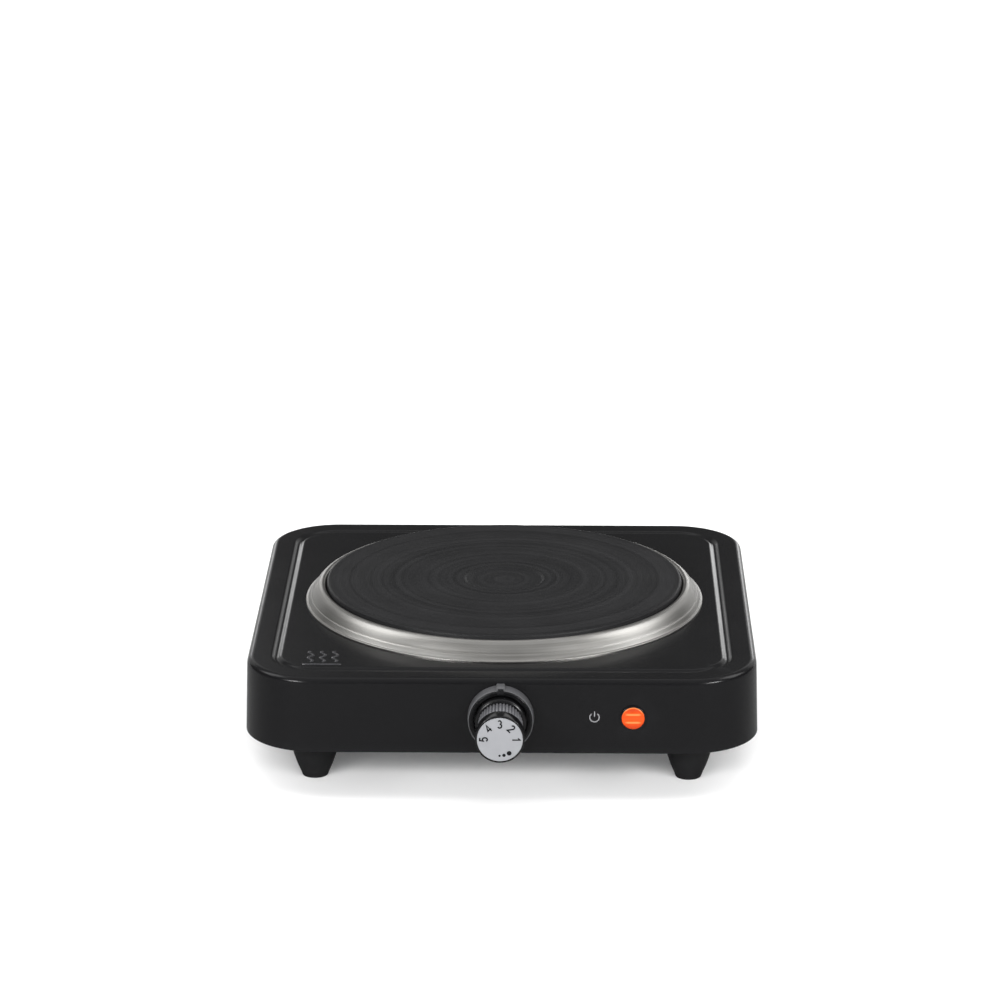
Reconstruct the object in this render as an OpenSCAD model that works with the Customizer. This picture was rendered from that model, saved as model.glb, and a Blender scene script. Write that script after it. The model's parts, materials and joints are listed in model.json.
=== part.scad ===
// Single hot plate burner: a square pressed-steel case on four feet, a cast-iron plate in a
// spun steel ring, a stepless heat knob on the front, a pilot lamp and a rear cord inlet.
// Millimetres. +Z up, the front (knob) faces -Y, z = 0 is the surface the feet stand on.

/* [Plate and ring] */
// diameter of the cast-iron plate
plate_d = 180; // [145:1:220]
// how far the plate stands above the case top
plate_rise = 10.5; // [6:0.5:16]
// total thickness of the cast plate
plate_t = 15.5; // [12:0.5:20]
// how far the ring reaches out beyond the plate
ring_band = 10.6; // [8:0.1:14]
// height of the ring's crown above the case top
ring_h = 9; // [5:0.1:14]
// sheet thickness of the ring
ring_t = 0.8; // [0.5:0.1:1.5]

/* [Case] */
// flat margin from the ring to the case side
side_margin = 24.4; // [15:0.1:60]
// height of the case wall
body_h = 37.1; // [34:0.1:60]
// corner radius in plan at the bottom edge
corner_r = 35.5; // [10:0.1:50]
// how much each wall leans in over its height
wall_draft = 1.04; // [0:0.01:3]
// rounding of the top edge
edge_r = 3; // [1.5:0.1:6]
// case sheet thickness
sheet_t = 1; // [0.6:0.1:1.5]
// distance of the pressed channel from the case side
groove_inset = 15.2; // [10:0.1:20]
// depth of the pressed channel
groove_depth = 1.2; // [0.5:0.1:2]
// width of the pressed channel at the case top
groove_w = 4.2; // [3:0.1:6]
// bottom cover thickness
cover_t = 1; // [0.6:0.1:2]
// gap round the bottom cover
cover_gap = 0.4; // [0.1:0.1:1]

/* [Feet] */
// height of the case's lower edge above the table
foot_drop = 24; // [10:0.5:40]
// distance of each foot's axis from the case side
foot_inset = 33.5; // [25:0.5:45]
// radius where the foot meets the table
foot_r = 6.6; // [5:0.1:10]
// radius at the foot's shoulder
foot_shoulder_r = 10.6; // [8:0.1:14]
// foot screw shank radius
foot_screw_r = 2; // [1.5:0.1:3]

/* [Knob and control] */
// height of the knob's axis above the case's lower edge
axis_h = 18.3; // [14:0.1:30]
// radius of the collar on the front
collar_r = 16; // [13:0.1:22]
// how far the collar stands off the front
collar_out = 6.4; // [4:0.1:9]
// radius of the ribbed grip
grip_r = 10.8; // [8:0.1:14]
// length of the ribbed grip
grip_l = 13.4; // [8:0.1:20]
// ribs round the grip
grip_ribs = 40; // [20:2:60]
// length of the smooth rim in front of the grip
rim_l = 7.3; // [4:0.1:10]
// radius of the smooth rim
rim_r = 11.8; // [9:0.1:15]
// radius of the control shaft
shaft_r = 3; // [2:0.1:4]
// running clearance of the shaft and of the lever
run_gap = 0.05; // [0.02:0.01:0.1]
// cam radius with the knob at rest
cam_r = 6.2; // [5:0.1:8]
// cam rise in millimetres per radian
cam_rise = 0.6; // [0.3:0.05:0.8]
// distance from the lever's pivot to its nose
lever_arm = 13; // [11:0.5:16]
// gap kept between the cam and the lever's nose
nose_gap = 0.4; // [0.35:0.01:0.6]

/* [Lamp and cord inlet] */
// sideways place of the pilot lamp
lamp_x = 63.5; // [40:0.5:90]
// radius of the lamp lens
lamp_r = 6.1; // [4:0.05:8]
// how far the lens stands off the front
lamp_out = 2; // [1:0.1:4]
// sideways place of the cord inlet at the back
inlet_x = 60; // [-80:1:80]
// radius of the cord inlet's bore
inlet_bore_r = 3.7; // [3:0.1:5]
// how far the cord inlet stands off the back
inlet_out = 12; // [6:0.5:20]

/* [Hidden] */
$fn = 64;
eps = 0.01;
plate_r = plate_d / 2;
ring_r = plate_r + ring_band;
body_w = 2 * (ring_r + side_margin);
half = body_w / 2;
corner_c = half - corner_r;
zb = foot_drop;
zp = zb + body_h;
za = zb + axis_h;
zi = zp - sheet_t;
z_cover = zb + 0.6;
z_floor = z_cover + cover_t;
opening_r = plate_r + 3;
foot_c = half - foot_inset;
// half width of the case at height z
function half_at(z) = half - wall_draft * (z - zb) / body_h;
wall_y = half_at(za);
in_y = wall_y - sheet_t;
knob_face = wall_y + collar_out + 0.8 + 3.2 + grip_l + rim_l;
inlet_y = wall_y + inlet_out;
plan_y = (knob_face - inlet_y) / 2;
// knob stations, as distances in front of the case's middle
collar_face = wall_y + collar_out;
skirt_back = wall_y + 4.4;
skirt_face = collar_face + 3.6;
grip_face = skirt_face + grip_l + 0.3;
bush_r = shaft_r + 2;
bush_face = wall_y + 3.2;
nut_t = 1.6;
frame_back = in_y - 1.6;
boss_back = frame_back - 2.4;
cam_front = boss_back - 1;
cam_t = 4;
cam_back = cam_front - cam_t;
nose_r = 1;
pivot_z = za + cam_r + nose_gap + nose_r;
pin_r = 1.5;
stack_r = 4.2;
stack_x = cam_r + 1.6 * cam_rise + 1.4 + stack_r;
stack_y = cam_front - cam_t / 2;
stack_low = z_floor + 3.6;
stack_top = zi - groove_depth - 0.9;
blade_t = 0.5;
blade_hi = stack_top - 2.2;
blade_lo = stack_top - 4.4;
bimetal_z = stack_top - 8.2;
z_disc = zp + plate_rise - plate_t - 0.8;
bar_top = z_disc - 7;
shield_top = bar_top - 2 - 1.2;
term_y = -(plate_r - 26);

// ---- shared shapes ----

module on_plan() {
  translate([0, plan_y, 0]) children();
}

// a solid of revolution whose axis runs along Y; points are [radius, distance in front]
module front_turned(pts) {
  rotate([90, 0, 0]) rotate_extrude() polygon(pts);
}

// a rod along Y from distance a to distance b in front of the case's middle
module front_rod(r, a, b) {
  translate([0, -a, 0]) rotate([90, 0, 0]) cylinder(r = r, h = b - a);
}

// one corner of the case as a turned solid, d inside the outer skin
module corner_post(d, low) {
  rb = corner_r - d;
  rt = corner_r - d - wall_draft * (body_h - edge_r) / body_h;
  er = edge_r - d;
  top = zp - d;
  arc = [for (i = [0:5]) [rt - er + er * cos(i * 18), top - er + er * sin(i * 18)]];
  rotate_extrude($fn = 32) polygon(concat([[0, low], [rb, low], [rb, zb]], arc, [[0, top]]));
}

module case_solid(d, low) {
  hull() for (sx = [-1, 1], sy = [-1, 1])
    translate([sx * corner_c, sy * corner_c, 0]) corner_post(d, low);
}

module rounded_plate(h2, r, z, t) {
  c = h2 - r;
  translate([0, 0, z]) linear_extrude(t) union() {
    square([2 * h2, 2 * c], center = true);
    square([2 * c, 2 * h2], center = true);
    for (sx = [-1, 1], sy = [-1, 1]) translate([sx * c, sy * c]) circle(r = r);
  }
}

// a section swept round the channel's square path; points are [outward, above the case top]
module channel(p, bend) {
  g = half - groove_inset;
  c = g - bend;
  for (k = [0:3]) rotate([0, 0, 90 * k]) {
    translate([g, c, zp]) rotate([90, 0, 0]) linear_extrude(2 * c) polygon(p);
    translate([c, c, zp]) rotate_extrude(angle = 90) translate([bend, 0]) polygon(p);
  }
}
groove_cut = [[-groove_w / 2, 0.5], [-groove_w / 2 + 0.25, -0.1], [-groove_w / 2 + 0.8, -groove_depth * 0.75],
  [-groove_w * 0.16, -groove_depth], [groove_w * 0.16, -groove_depth],
  [groove_w / 2 - 0.8, -groove_depth * 0.75], [groove_w / 2 - 0.25, -0.1], [groove_w / 2, 0.5]];
bead_w = groove_w + 1.4 * sheet_t;
bead_add = [[-bead_w / 2, -sheet_t / 2], [-bead_w / 2 + 0.7, -sheet_t - groove_depth * 0.5],
  [-bead_w * 0.2, -sheet_t - groove_depth], [bead_w * 0.2, -sheet_t - groove_depth],
  [bead_w / 2 - 0.7, -sheet_t - groove_depth * 0.5], [bead_w / 2, -sheet_t / 2]];

module slot2d(l, w) {
  square([l - w, w], center = true);
  for (s = [-1, 1]) translate([s * (l - w) / 2, 0]) circle(r = w / 2, $fn = 24);
}

function bez(a, b, c, d, t) =
  a * pow(1 - t, 3) + 3 * b * t * pow(1 - t, 2) + 3 * c * pow(t, 2) * (1 - t) + d * pow(t, 3);
function unit(v) = v / norm(v);

// an insulated wire of radius r along a Bezier curve
module wire(a, b, c, d, r) {
  n = 16;
  m = 8;
  up = [0.31, 0.17, 0.93];
  p = [for (i = [0:n]) bez(a, b, c, d, i / n)];
  t = [for (i = [0:n]) unit(p[min(i + 1, n)] - p[max(i - 1, 0)])];
  pts = [for (i = [0:n]) let (u = unit(cross(t[i], up)), v = cross(t[i], u))
    for (j = [0:m - 1]) p[i] + r * cos(360 * j / m) * u + r * sin(360 * j / m) * v];
  sides = [for (i = [0:n - 1], j = [0:m - 1]) let (k = (j + 1) % m)
    each [[i * m + j, (i + 1) * m + j, i * m + k], [(i + 1) * m + j, (i + 1) * m + k, i * m + k]]];
  low = [for (j = [1:m - 2]) [0, j, j + 1]];
  high = [for (j = [1:m - 2]) [n * m, n * m + j + 1, n * m + j]];
  polyhedron(points = pts, faces = concat(sides, low, high));
}

// ---- case ----

module heat_mark() {
  // raised generic sign: three wavy lines over a bar
  sx = -(half - 28);
  sy = -(half - 21);
  wave = [for (i = [0:16]) [1.1 * sin(i * 45) , i]];
  translate([sx, sy, zp - 0.3]) linear_extrude(0.7) union() {
    square([20, 1.7]);
    for (k = [0:2]) translate([4 + 6 * k, 4])
      polygon(concat([for (p = wave) p - [0.8, 0]], [for (i = [16:-1:0]) wave[i] + [0.8, 0]]));
  }
}

module top_housing() {
  color([0.16, 0.16, 0.165]) on_plan() difference() {
    union() {
      difference() {
        case_solid(0, zb);
        case_solid(sheet_t, zb - 5);
      }
      channel(bead_add, 20);
      heat_mark();
    }
    channel(groove_cut, 20);
    translate([0, 0, zi - 3]) cylinder(r = opening_r, h = 6, $fn = 128);
    translate([0, 0, za]) front_rod(bush_r + 0.3, wall_y - 3, wall_y + 3);
    translate([lamp_x, 0, za]) front_rod(lamp_r - 0.9, wall_y - 3, wall_y + 3);
    translate([inlet_x, 0, za]) front_rod(inlet_bore_r + 3.6, -wall_y - 3, -wall_y + 3);
  }
}

module bottom_cover() {
  color([0.55, 0.56, 0.58]) on_plan() difference() {
    rounded_plate(half - sheet_t - cover_gap, corner_r - sheet_t - cover_gap, z_cover, cover_t);
    for (sx = [-1, 1], sy = [-1, 1])
      translate([sx * foot_c, sy * foot_c, z_cover - 1]) cylinder(r = foot_screw_r + 0.2, h = 4);
    for (r = [-2:2], c = [-1, 1])
      translate([c * 34, r * 14, z_cover - 1]) linear_extrude(4) slot2d(40, 4);
    for (sx = [-1, 1])
      translate([inlet_x + sx * 9, half - 24, z_cover - 1]) cylinder(r = 1.6, h = 4);
    for (sx = [-1, 1])
      translate([sx * 24, half - 24, z_cover - 1]) cylinder(r = 1.6, h = 4);
    translate([-48, half - 24, z_cover - 1]) cylinder(r = 2.2, h = 4);
  }
}

module bracket_at(sx, sy) {
  x0 = foot_c - 7.5;
  y0 = foot_c - 7;
  color([0.62, 0.63, 0.65]) on_plan() mirror([sx < 0 ? 1 : 0, 0, 0]) mirror([0, sy < 0 ? 1 : 0, 0])
  difference() {
    union() {
      translate([x0, y0, z_floor]) cube([15, 14, 1.5]);
      translate([x0, y0, z_floor]) cube([1.5, 14, zi - z_floor]);
      translate([x0, y0, zi - 1.5]) cube([15, 14, 1.5]);
      translate([foot_c, foot_c, z_floor]) cylinder(r = 4.5, h = 5.5);
    }
    translate([foot_c, foot_c, z_floor - 1]) cylinder(r = foot_screw_r, h = 9);
  }
}

module corner_bracket_fl() { bracket_at(-1, -1); }
module corner_bracket_fr() { bracket_at(1, -1); }
module corner_bracket_rl() { bracket_at(-1, 1); }
module corner_bracket_rr() { bracket_at(1, 1); }

// ---- feet ----
head_z = 12;
head_h = 2.6;
module foot_at(sx, sy) {
  s = foot_shoulder_r;
  color([0.1, 0.1, 0.1]) on_plan() translate([sx * foot_c, sy * foot_c, 0]) rotate_extrude()
    polygon([[4.3, 0], [foot_r - 0.7, 0], [foot_r - 0.2, 0.15], [foot_r, 0.5], [foot_r + 0.6, 2.6],
      [s - 0.7, 7.4], [s - 0.15, 8.8], [s, 10.5], [s + 1.2, z_cover], [foot_screw_r + 0.2, z_cover],
      [foot_screw_r + 0.2, head_z + head_h + 0.8], [4.3, head_z + head_h + 0.8]]);
}
module foot_fl() { foot_at(-1, -1); }
module foot_fr() { foot_at(1, -1); }
module foot_rl() { foot_at(-1, 1); }
module foot_rr() { foot_at(1, 1); }

module each_foot() {
  on_plan() for (sx = [-1, 1], sy = [-1, 1]) translate([sx * foot_c, sy * foot_c, 0]) children();
}
module foot_washers() {
  color([0.75, 0.76, 0.78]) each_foot() translate([0, 0, head_z + head_h]) difference() {
    cylinder(r = 4.1, h = 0.8);
    translate([0, 0, -1]) cylinder(r = foot_screw_r + 0.1, h = 3);
  }
}
module foot_screws() {
  color([0.7, 0.71, 0.73]) each_foot() difference() {
    union() {
      translate([0, 0, head_z]) cylinder(r = 3.6, h = head_h);
      translate([0, 0, head_z + 1]) cylinder(r = foot_screw_r, h = z_floor + 5 - head_z - 1);
    }
    for (a = [0, 90]) rotate([0, 0, a]) translate([-2.2, -0.4, head_z - 1]) cube([4.4, 0.8, 2.2]);
  }
}

// ---- plate and ring ----
module trim_ring() {
  o = ring_r;
  p = plate_r;
  t = ring_t;
  h = ring_h;
  k = h / 9;
  color([0.78, 0.78, 0.77]) on_plan() translate([0, 0, zp]) rotate_extrude($fn = 128) polygon([
    [o, 0], [o, 0.7], [o - 0.35, 0.95], [o - 1.1, 1.05], [o - 1.9, 3.1 * k], [o - 2.6, 3.6 * k],
    [o - 3.9, 5.8 * k], [o - 5.4, 7.5 * k], [o - 7, 8.6 * k], [p + 2.2, h], [p + 1.1, h - 0.25],
    [p + 0.5, h - 1], [p + 0.5, 1.6], [p - 3, 1.6], [p - 3, 1.6 - t], [p + 0.5 + t, 1.6 - t],
    [p + 0.5 + t, h - 1.3], [p + 1.6, h - 1.05], [p + 2.2, h - t], [o - 7.4, 8.6 * k - t],
    [o - 5.9, 7.5 * k - t], [o - 4.6, 5.8 * k - t], [o - 3.4, 2.8 * k], [o - 2.7, 2.4 * k],
    [o - 2, 0.3], [o - 1.9, 0]]);
}

coil_r = 2.3;
module groove_ring(c, w, z0, z1) {
  translate([0, 0, z0]) rotate_extrude($fn = 96) translate([c - w / 2, 0]) square([w, z1 - z0]);
}
g_in = plate_r * 0.44;
g_mid = plate_r * 0.62;
g_out = plate_r * 0.8;
g_w = 8;
g_top = zp + plate_rise - 6.5;
pl_low = zp + plate_rise - plate_t;
module hot_plate() {
  top = zp + plate_rise;
  r = plate_r;
  color([0.09, 0.09, 0.09]) on_plan() difference() {
    rotate_extrude($fn = 128) polygon([[0, top - 0.8], [19, top - 0.8], [20, top], [r - 1.2, top],
      [r - 0.35, top - 0.35], [r, top - 1.2], [r, zp + 1.6], [r - 3.5, zp + 1.6],
      [r - 3.5, pl_low], [g_in - 14, pl_low], [g_in - 16, pl_low + 3], [12, pl_low + 3],
      [11, pl_low], [0, pl_low]]);
    groove_ring(g_in, g_w, pl_low - 1, g_top);
    groove_ring(g_mid, g_w, pl_low - 1, g_top);
    groove_ring(g_out, g_w, pl_low - 1, g_top);
    translate([0, 0, pl_low - 1]) cylinder(r = 3, h = 9);
  }
}
module coil_ring(c) {
  color([0.5, 0.45, 0.4]) on_plan() translate([0, 0, g_top - 4.4]) rotate([0, 0, -85])
    rotate_extrude(angle = 350, $fn = 96) translate([c, 0]) circle(r = coil_r, $fn = 24);
}
module coil_inner() { coil_ring(g_in); }
module coil_middle() { coil_ring(g_mid); }
module coil_outer() { coil_ring(g_out); }
module coil_cement() {
  color([0.75, 0.72, 0.66]) on_plan() for (c = [g_in, g_mid, g_out]) difference() {
    groove_ring(c, g_w, pl_low, g_top);
    translate([0, 0, g_top - 4.4]) rotate_extrude($fn = 96) translate([c, 0])
      circle(r = coil_r + 0.05, $fn = 24);
  }
}
module element_cover() {
  color([0.5, 0.5, 0.5]) on_plan() translate([0, 0, z_disc]) difference() {
    cylinder(r = plate_r - 5, h = 0.8, $fn = 96);
    translate([0, 0, -1]) cylinder(r = 3.2, h = 3);
    for (sx = [-1, 1]) translate([sx * 7, term_y, -1]) cylinder(r = 2.4, h = 3);
  }
}
module centre_stud() {
  color([0.7, 0.7, 0.72]) on_plan() translate([0, 0, shield_top - 8])
    cylinder(r = 3, h = pl_low + 7 - shield_top + 8);
}
module crossbar() {
  e = opening_r + 9;
  b = bar_top;
  color([0.66, 0.67, 0.69]) on_plan() difference() {
    translate([0, 10, 0]) rotate([90, 0, 0]) linear_extrude(20) polygon([
      [-e, zi], [-e, zi - 2], [-e + 7, zi - 2], [-e + 12, b - 2], [e - 12, b - 2],
      [e - 7, zi - 2], [e, zi - 2], [e, zi], [e - 8.5, zi], [e - 13.5, b], [-e + 13.5, b],
      [-e + 8.5, zi]]);
    translate([0, 0, b - 5]) cylinder(r = 3.2, h = 9);
  }
}
module heat_shield() {
  r = plate_r - 8;
  color([0.72, 0.73, 0.74]) on_plan() difference() {
    translate([0, 0, shield_top]) rotate_extrude($fn = 96) polygon([[3.2, 0], [r, 0], [r, -4],
      [r - 0.8, -4], [r - 0.8, -0.8], [3.2, -0.8]]);
    translate([-17, term_y - 14, shield_top - 3]) cube([34, 24, 6]);
  }
}
module centre_washer() {
  color([0.75, 0.76, 0.78]) on_plan() {
    translate([0, 0, shield_top]) linear_extrude(bar_top - 2 - shield_top) difference() {
      circle(r = 8);
      circle(r = 3.2);
    }
    translate([0, 0, shield_top - 2]) linear_extrude(1.2) difference() {
      circle(r = 7);
      circle(r = 3.2);
    }
  }
}
module centre_nut() {
  color([0.72, 0.73, 0.75]) on_plan() translate([0, 0, shield_top - 7]) difference() {
    cylinder(r = 5.77, h = 5, $fn = 6);
    translate([0, 0, -1]) cylinder(r = 3, h = 8);
  }
}
module plate_terminal() {
  color([0.9, 0.88, 0.83]) on_plan() translate([0, term_y, z_disc]) difference() {
    union() {
      translate([-15, -6, -10]) cube([30, 12, 10]);
      for (sx = [-1, 1]) translate([sx * 7, 0, -1]) cylinder(r = 2.2, h = 1.7);
    }
    for (sx = [-1, 1]) {
      translate([sx * 7, -7, -5]) rotate([-90, 0, 0]) cylinder(r = 1.7, h = 14);
      translate([sx * 7, 0, -11]) cylinder(r = 1.5, h = 6);
    }
    translate([0, 0, -11]) cylinder(r = 1.6, h = 12);
  }
}
module plate_terminal_screws() {
  color([0.8, 0.72, 0.4]) on_plan() for (sx = [-1, 1])
    translate([sx * 7, term_y, z_disc - 11.2]) union() {
      cylinder(r = 2.4, h = 1.2);
      cylinder(r = 1.5, h = 4.4);
    }
}

// ---- heat control ----
module blade_holes() {
  // slots through the insulator for the strips clamped in it
  for (z = [blade_hi, blade_lo]) translate([stack_x - 6, -stack_y - 3, z]) cube([14, 6, blade_t]);
  translate([stack_x - 3.5, -stack_y - 6, bimetal_z]) cube([7, 14, 0.8]);
}
module control_frame() {
  w = stack_x + 5;
  color([0.7, 0.71, 0.72]) on_plan() difference() {
    union() {
      intersection() {
        translate([-w, -in_y - 1, z_floor + 2]) cube([2 * w, 2.6, zi - groove_depth - 4 - z_floor]);
        case_solid(sheet_t, zb - 5);
      }
      translate([-w, -frame_back - 0.2, z_floor + 2]) cube([2 * w, frame_back - cam_back + 3, 1.6]);
      translate([0, 0, za]) front_rod(bush_r, frame_back - 0.2, bush_face);
      translate([0, 0, za]) front_rod(bush_r + 1.5, boss_back, frame_back + 0.2);
    }
    translate([0, 0, za]) front_rod(shaft_r + run_gap, boss_back - 2, bush_face + 2);
    translate([-lever_arm, 0, pivot_z]) front_rod(pin_r, frame_back - 3, frame_back + 0.8);
    translate([stack_x, -stack_y, z_floor]) cylinder(r = 1.5, h = 9);
  }
}
module control_nut() {
  color([0.75, 0.76, 0.78]) on_plan() translate([0, -wall_y - 1.5, za]) rotate([90, 0, 0])
    difference() {
      cylinder(r = 8, h = nut_t, $fn = 6);
      translate([0, 0, -1]) cylinder(r = bush_r, h = 4);
    }
}
module stack_insulator() {
  color([0.88, 0.86, 0.8]) on_plan() difference() {
    translate([stack_x, -stack_y, stack_low]) cylinder(r = stack_r, h = stack_top - stack_low);
    translate([stack_x, -stack_y, stack_low - 1]) cylinder(r = 1.5, h = 50);
    blade_holes();
  }
}
module stack_screw() {
  color([0.72, 0.72, 0.74]) on_plan() translate([stack_x, -stack_y, 0]) union() {
    translate([0, 0, z_floor + 1]) cylinder(r = 1.5, h = stack_top - z_floor - 1);
    translate([0, 0, z_floor + 0.6]) cylinder(r = 2.8, h = 1.4);
  }
}
module bimetal_strip() {
  color([0.66, 0.6, 0.5]) on_plan() difference() {
    translate([stack_x - 3.5, -stack_y - 4.6, bimetal_z]) cube([7, 40.6, 0.8]);
    translate([stack_x, -stack_y, bimetal_z - 1]) cylinder(r = 1.5, h = 4);
  }
}
module blade(z, x0, side) {
  difference() {
    union() {
      translate([x0, -stack_y - 3, z]) cube([stack_x + 11 - x0, 6, blade_t]);
      translate([x0 + 3, -stack_y, side > 0 ? z + blade_t : z - 0.7]) cylinder(r = 1.8, h = 0.7);
    }
    translate([stack_x, -stack_y, z - 1]) cylinder(r = 1.5, h = 4);
  }
}
module contact_blade_upper() {
  color([0.82, 0.66, 0.4]) on_plan() blade(blade_hi, -7, -1);
}
module contact_blade_lower() {
  color([0.82, 0.66, 0.4]) on_plan() blade(blade_lo, -5, 1);
}
module lever_pin() {
  color([0.7, 0.7, 0.72]) on_plan() translate([-lever_arm, 0, pivot_z])
    front_rod(pin_r, cam_back - 0.6, frame_back + 0.8);
}
module contact_lever() {
  color([0.45, 0.3, 0.2]) on_plan() translate([0, 0, pivot_z]) difference() {
    union() {
      translate([-lever_arm, 0, 0]) front_rod(3, cam_back + 0.6, cam_front - 0.6);
      translate([-lever_arm, -cam_front + 0.6, -0.9]) cube([lever_arm + 1, cam_t - 1.2, 1.9]);
      front_rod(nose_r, cam_back + 0.6, cam_front - 0.6);
    }
    translate([-lever_arm, 0, 0]) front_rod(pin_r + run_gap, cam_back - 2, cam_front + 2);
  }
}
// D section of the shaft: the flat faces up at rest
module d_cut(y0, y1) {
  translate([-shaft_r - 1, -y1, shaft_r - 0.9]) cube([2 * shaft_r + 2, y1 - y0, 3]);
}
module control_shaft() {
  color([0.75, 0.75, 0.77]) on_plan() translate([0, 0, za]) difference() {
    union() {
      front_rod(shaft_r, cam_back - 1.5, grip_face - 3);
      front_rod(shaft_r + 1.2, cam_back - 1.5, cam_back);
    }
    d_cut(bush_face + 1.5, grip_face + 5);
  }
}
module control_cam() {
  // radius grows steadily through the knob's travel, then falls back
  a0 = -57;
  a1 = 180;
  n = 40;
  pts = [for (i = [0:n]) let (a = a0 - 8 + (a1 - a0 + 16) * i / n)
    (cam_r + cam_rise * (a - 90) * PI / 180) * [cos(a), sin(a)]];
  color([0.85, 0.84, 0.8]) on_plan() translate([0, 0, za]) difference() {
    translate([0, -cam_back, 0]) rotate([90, 0, 0]) linear_extrude(cam_t) polygon(pts);
    front_rod(shaft_r, cam_back - 1, cam_front + 1);
  }
}

// ---- knob ----
module knob_collar() {
  r = collar_r;
  f = collar_face;
  color([0.1, 0.1, 0.1]) on_plan() translate([0, 0, za]) difference() {
    union() {
      front_turned([[0, wall_y - 2], [r, wall_y - 2], [r, f - 1.4], [r - 0.4, f - 0.5],
        [r - 1.2, f], [0, f]]);
      translate([-2.3, -f + 0.4, 0]) cube([4.6, collar_out + 1.6, r + 1.25]);
    }
    front_turned([[0, wall_y + 1.5], [12.9, wall_y + 1.5], [12.9, f + 1], [0, f + 1]]);
    front_rod(bush_r + 0.3, wall_y - 5, f);
    translate([0, 0, -za]) case_solid(0, zb - 5);
  }
}
module knob_core() {
  s = skirt_face;
  color([0.1, 0.1, 0.1]) on_plan() translate([0, 0, za]) difference() {
    front_turned([[0, skirt_back + 1.2], [shaft_r + 2.2, skirt_back + 1.2],
      [shaft_r + 2.2, s - 1.6], [10.8, s - 1.6], [10.8, skirt_back], [12.3, skirt_back], [12.3, s - 0.6],
      [11.7, s], [9.2, s], [9.2, grip_face - 0.2], [0, grip_face - 0.2]]);
    difference() {
      front_rod(shaft_r, skirt_back - 1, grip_face - 2.6);
      d_cut(skirt_back - 3, grip_face);
    }
    translate([0, 0, 0]) difference() {
      front_rod(8, s + 1.4, grip_face + 1);
      front_rod(shaft_r + 2.2, s, grip_face + 2);
    }
  }
}
module knob_grip() {
  n = grip_ribs;
  pts = [for (i = [0:n - 1]) each [
    grip_r * [cos(360 * (i - 0.22) / n), sin(360 * (i - 0.22) / n)],
    grip_r * [cos(360 * (i + 0.22) / n), sin(360 * (i + 0.22) / n)],
    (grip_r - 0.45) * [cos(360 * (i + 0.38) / n), sin(360 * (i + 0.38) / n)],
    (grip_r - 0.45) * [cos(360 * (i + 0.62) / n), sin(360 * (i + 0.62) / n)]]];
  color([0.45, 0.45, 0.46]) on_plan() translate([0, -skirt_face, za]) rotate([90, 0, 0])
    linear_extrude(grip_l) difference() {
      polygon(pts);
      circle(r = 9.2);
    }
}
module knob_rim() {
  r = rim_r;
  f = knob_face;
  color([0.08, 0.08, 0.08]) on_plan() translate([0, 0, za]) front_turned([[0, f - 1.2], [r - 0.85, f - 1.2],
    [r - 0.85, f - 0.15], [r - 0.25, f - 0.15], [r, f - 0.5], [r, grip_face + 0.4],
    [r - 0.4, grip_face], [9.3, grip_face], [9.3, grip_face + 1.6], [9.3, f - 2.6], [0, f - 2.6]]);
}
module knob_dial() {
  color([0.78, 0.78, 0.78]) on_plan() translate([0, 0, za])
    front_rod(rim_r - 0.9, knob_face - 1.2, knob_face);
}
module knob_clip() {
  // flat spring between the shaft's flat and the core's bore
  color([0.7, 0.7, 0.72]) on_plan() translate([-2, -grip_face + 3.4, za + shaft_r + 2.3])
    cube([4, 7, 0.5]);
}

// ---- pilot lamp ----
module lamp_lens() {
  f = wall_y + lamp_out;
  color([1, 0.4, 0.05, 0.9]) on_plan() translate([lamp_x, 0, za]) difference() {
    front_turned([[0, wall_y - 4.2], [lamp_r - 1, wall_y - 4.2], [lamp_r - 1, wall_y - 0.7],
      [lamp_r, wall_y - 0.7], [lamp_r, f - 0.9], [lamp_r - 0.4, f - 0.3], [lamp_r - 1.2, f], [0, f]]);
    front_rod(lamp_r - 2.2, wall_y - 6, wall_y + 0.6);
    difference() {
      translate([-lamp_x, 0, -za]) difference() {
        case_solid(0, zb - 5);
        translate([lamp_x, 0, za]) front_rod(lamp_r - 0.95, wall_y - 9, wall_y + 4);
      }
    }
  }
}
module lamp_body() {
  color([0.92, 0.91, 0.88]) on_plan() translate([lamp_x, 0, za]) difference() {
    union() {
      front_rod(lamp_r, wall_y - 20, wall_y - 3.6);
      for (sx = [-1, 1]) translate([sx * 2.4 - 0.4, -wall_y + 19, -1.5]) cube([0.8, 7, 3]);
    }
    front_rod(lamp_r - 0.95, wall_y - 4.6, wall_y);
    front_rod(2.6, wall_y - 17.5, wall_y);
  }
}
module lamp_neon() {
  color([1, 0.6, 0.3, 0.8]) on_plan() translate([lamp_x, 0, za]) union() {
    front_rod(2.2, wall_y - 17.5, wall_y - 5);
    front_rod(1.5, wall_y - 6, wall_y - 3.2);
  }
}
module lamp_clip() {
  color([0.7, 0.71, 0.72]) on_plan() intersection() {
    translate([lamp_x, 0, za]) difference() {
      front_rod(8, wall_y - 2.4, wall_y);
      front_rod(lamp_r - 0.95, wall_y - 9, wall_y + 9);
    }
    case_solid(sheet_t, zb - 5);
  }
}

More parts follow.
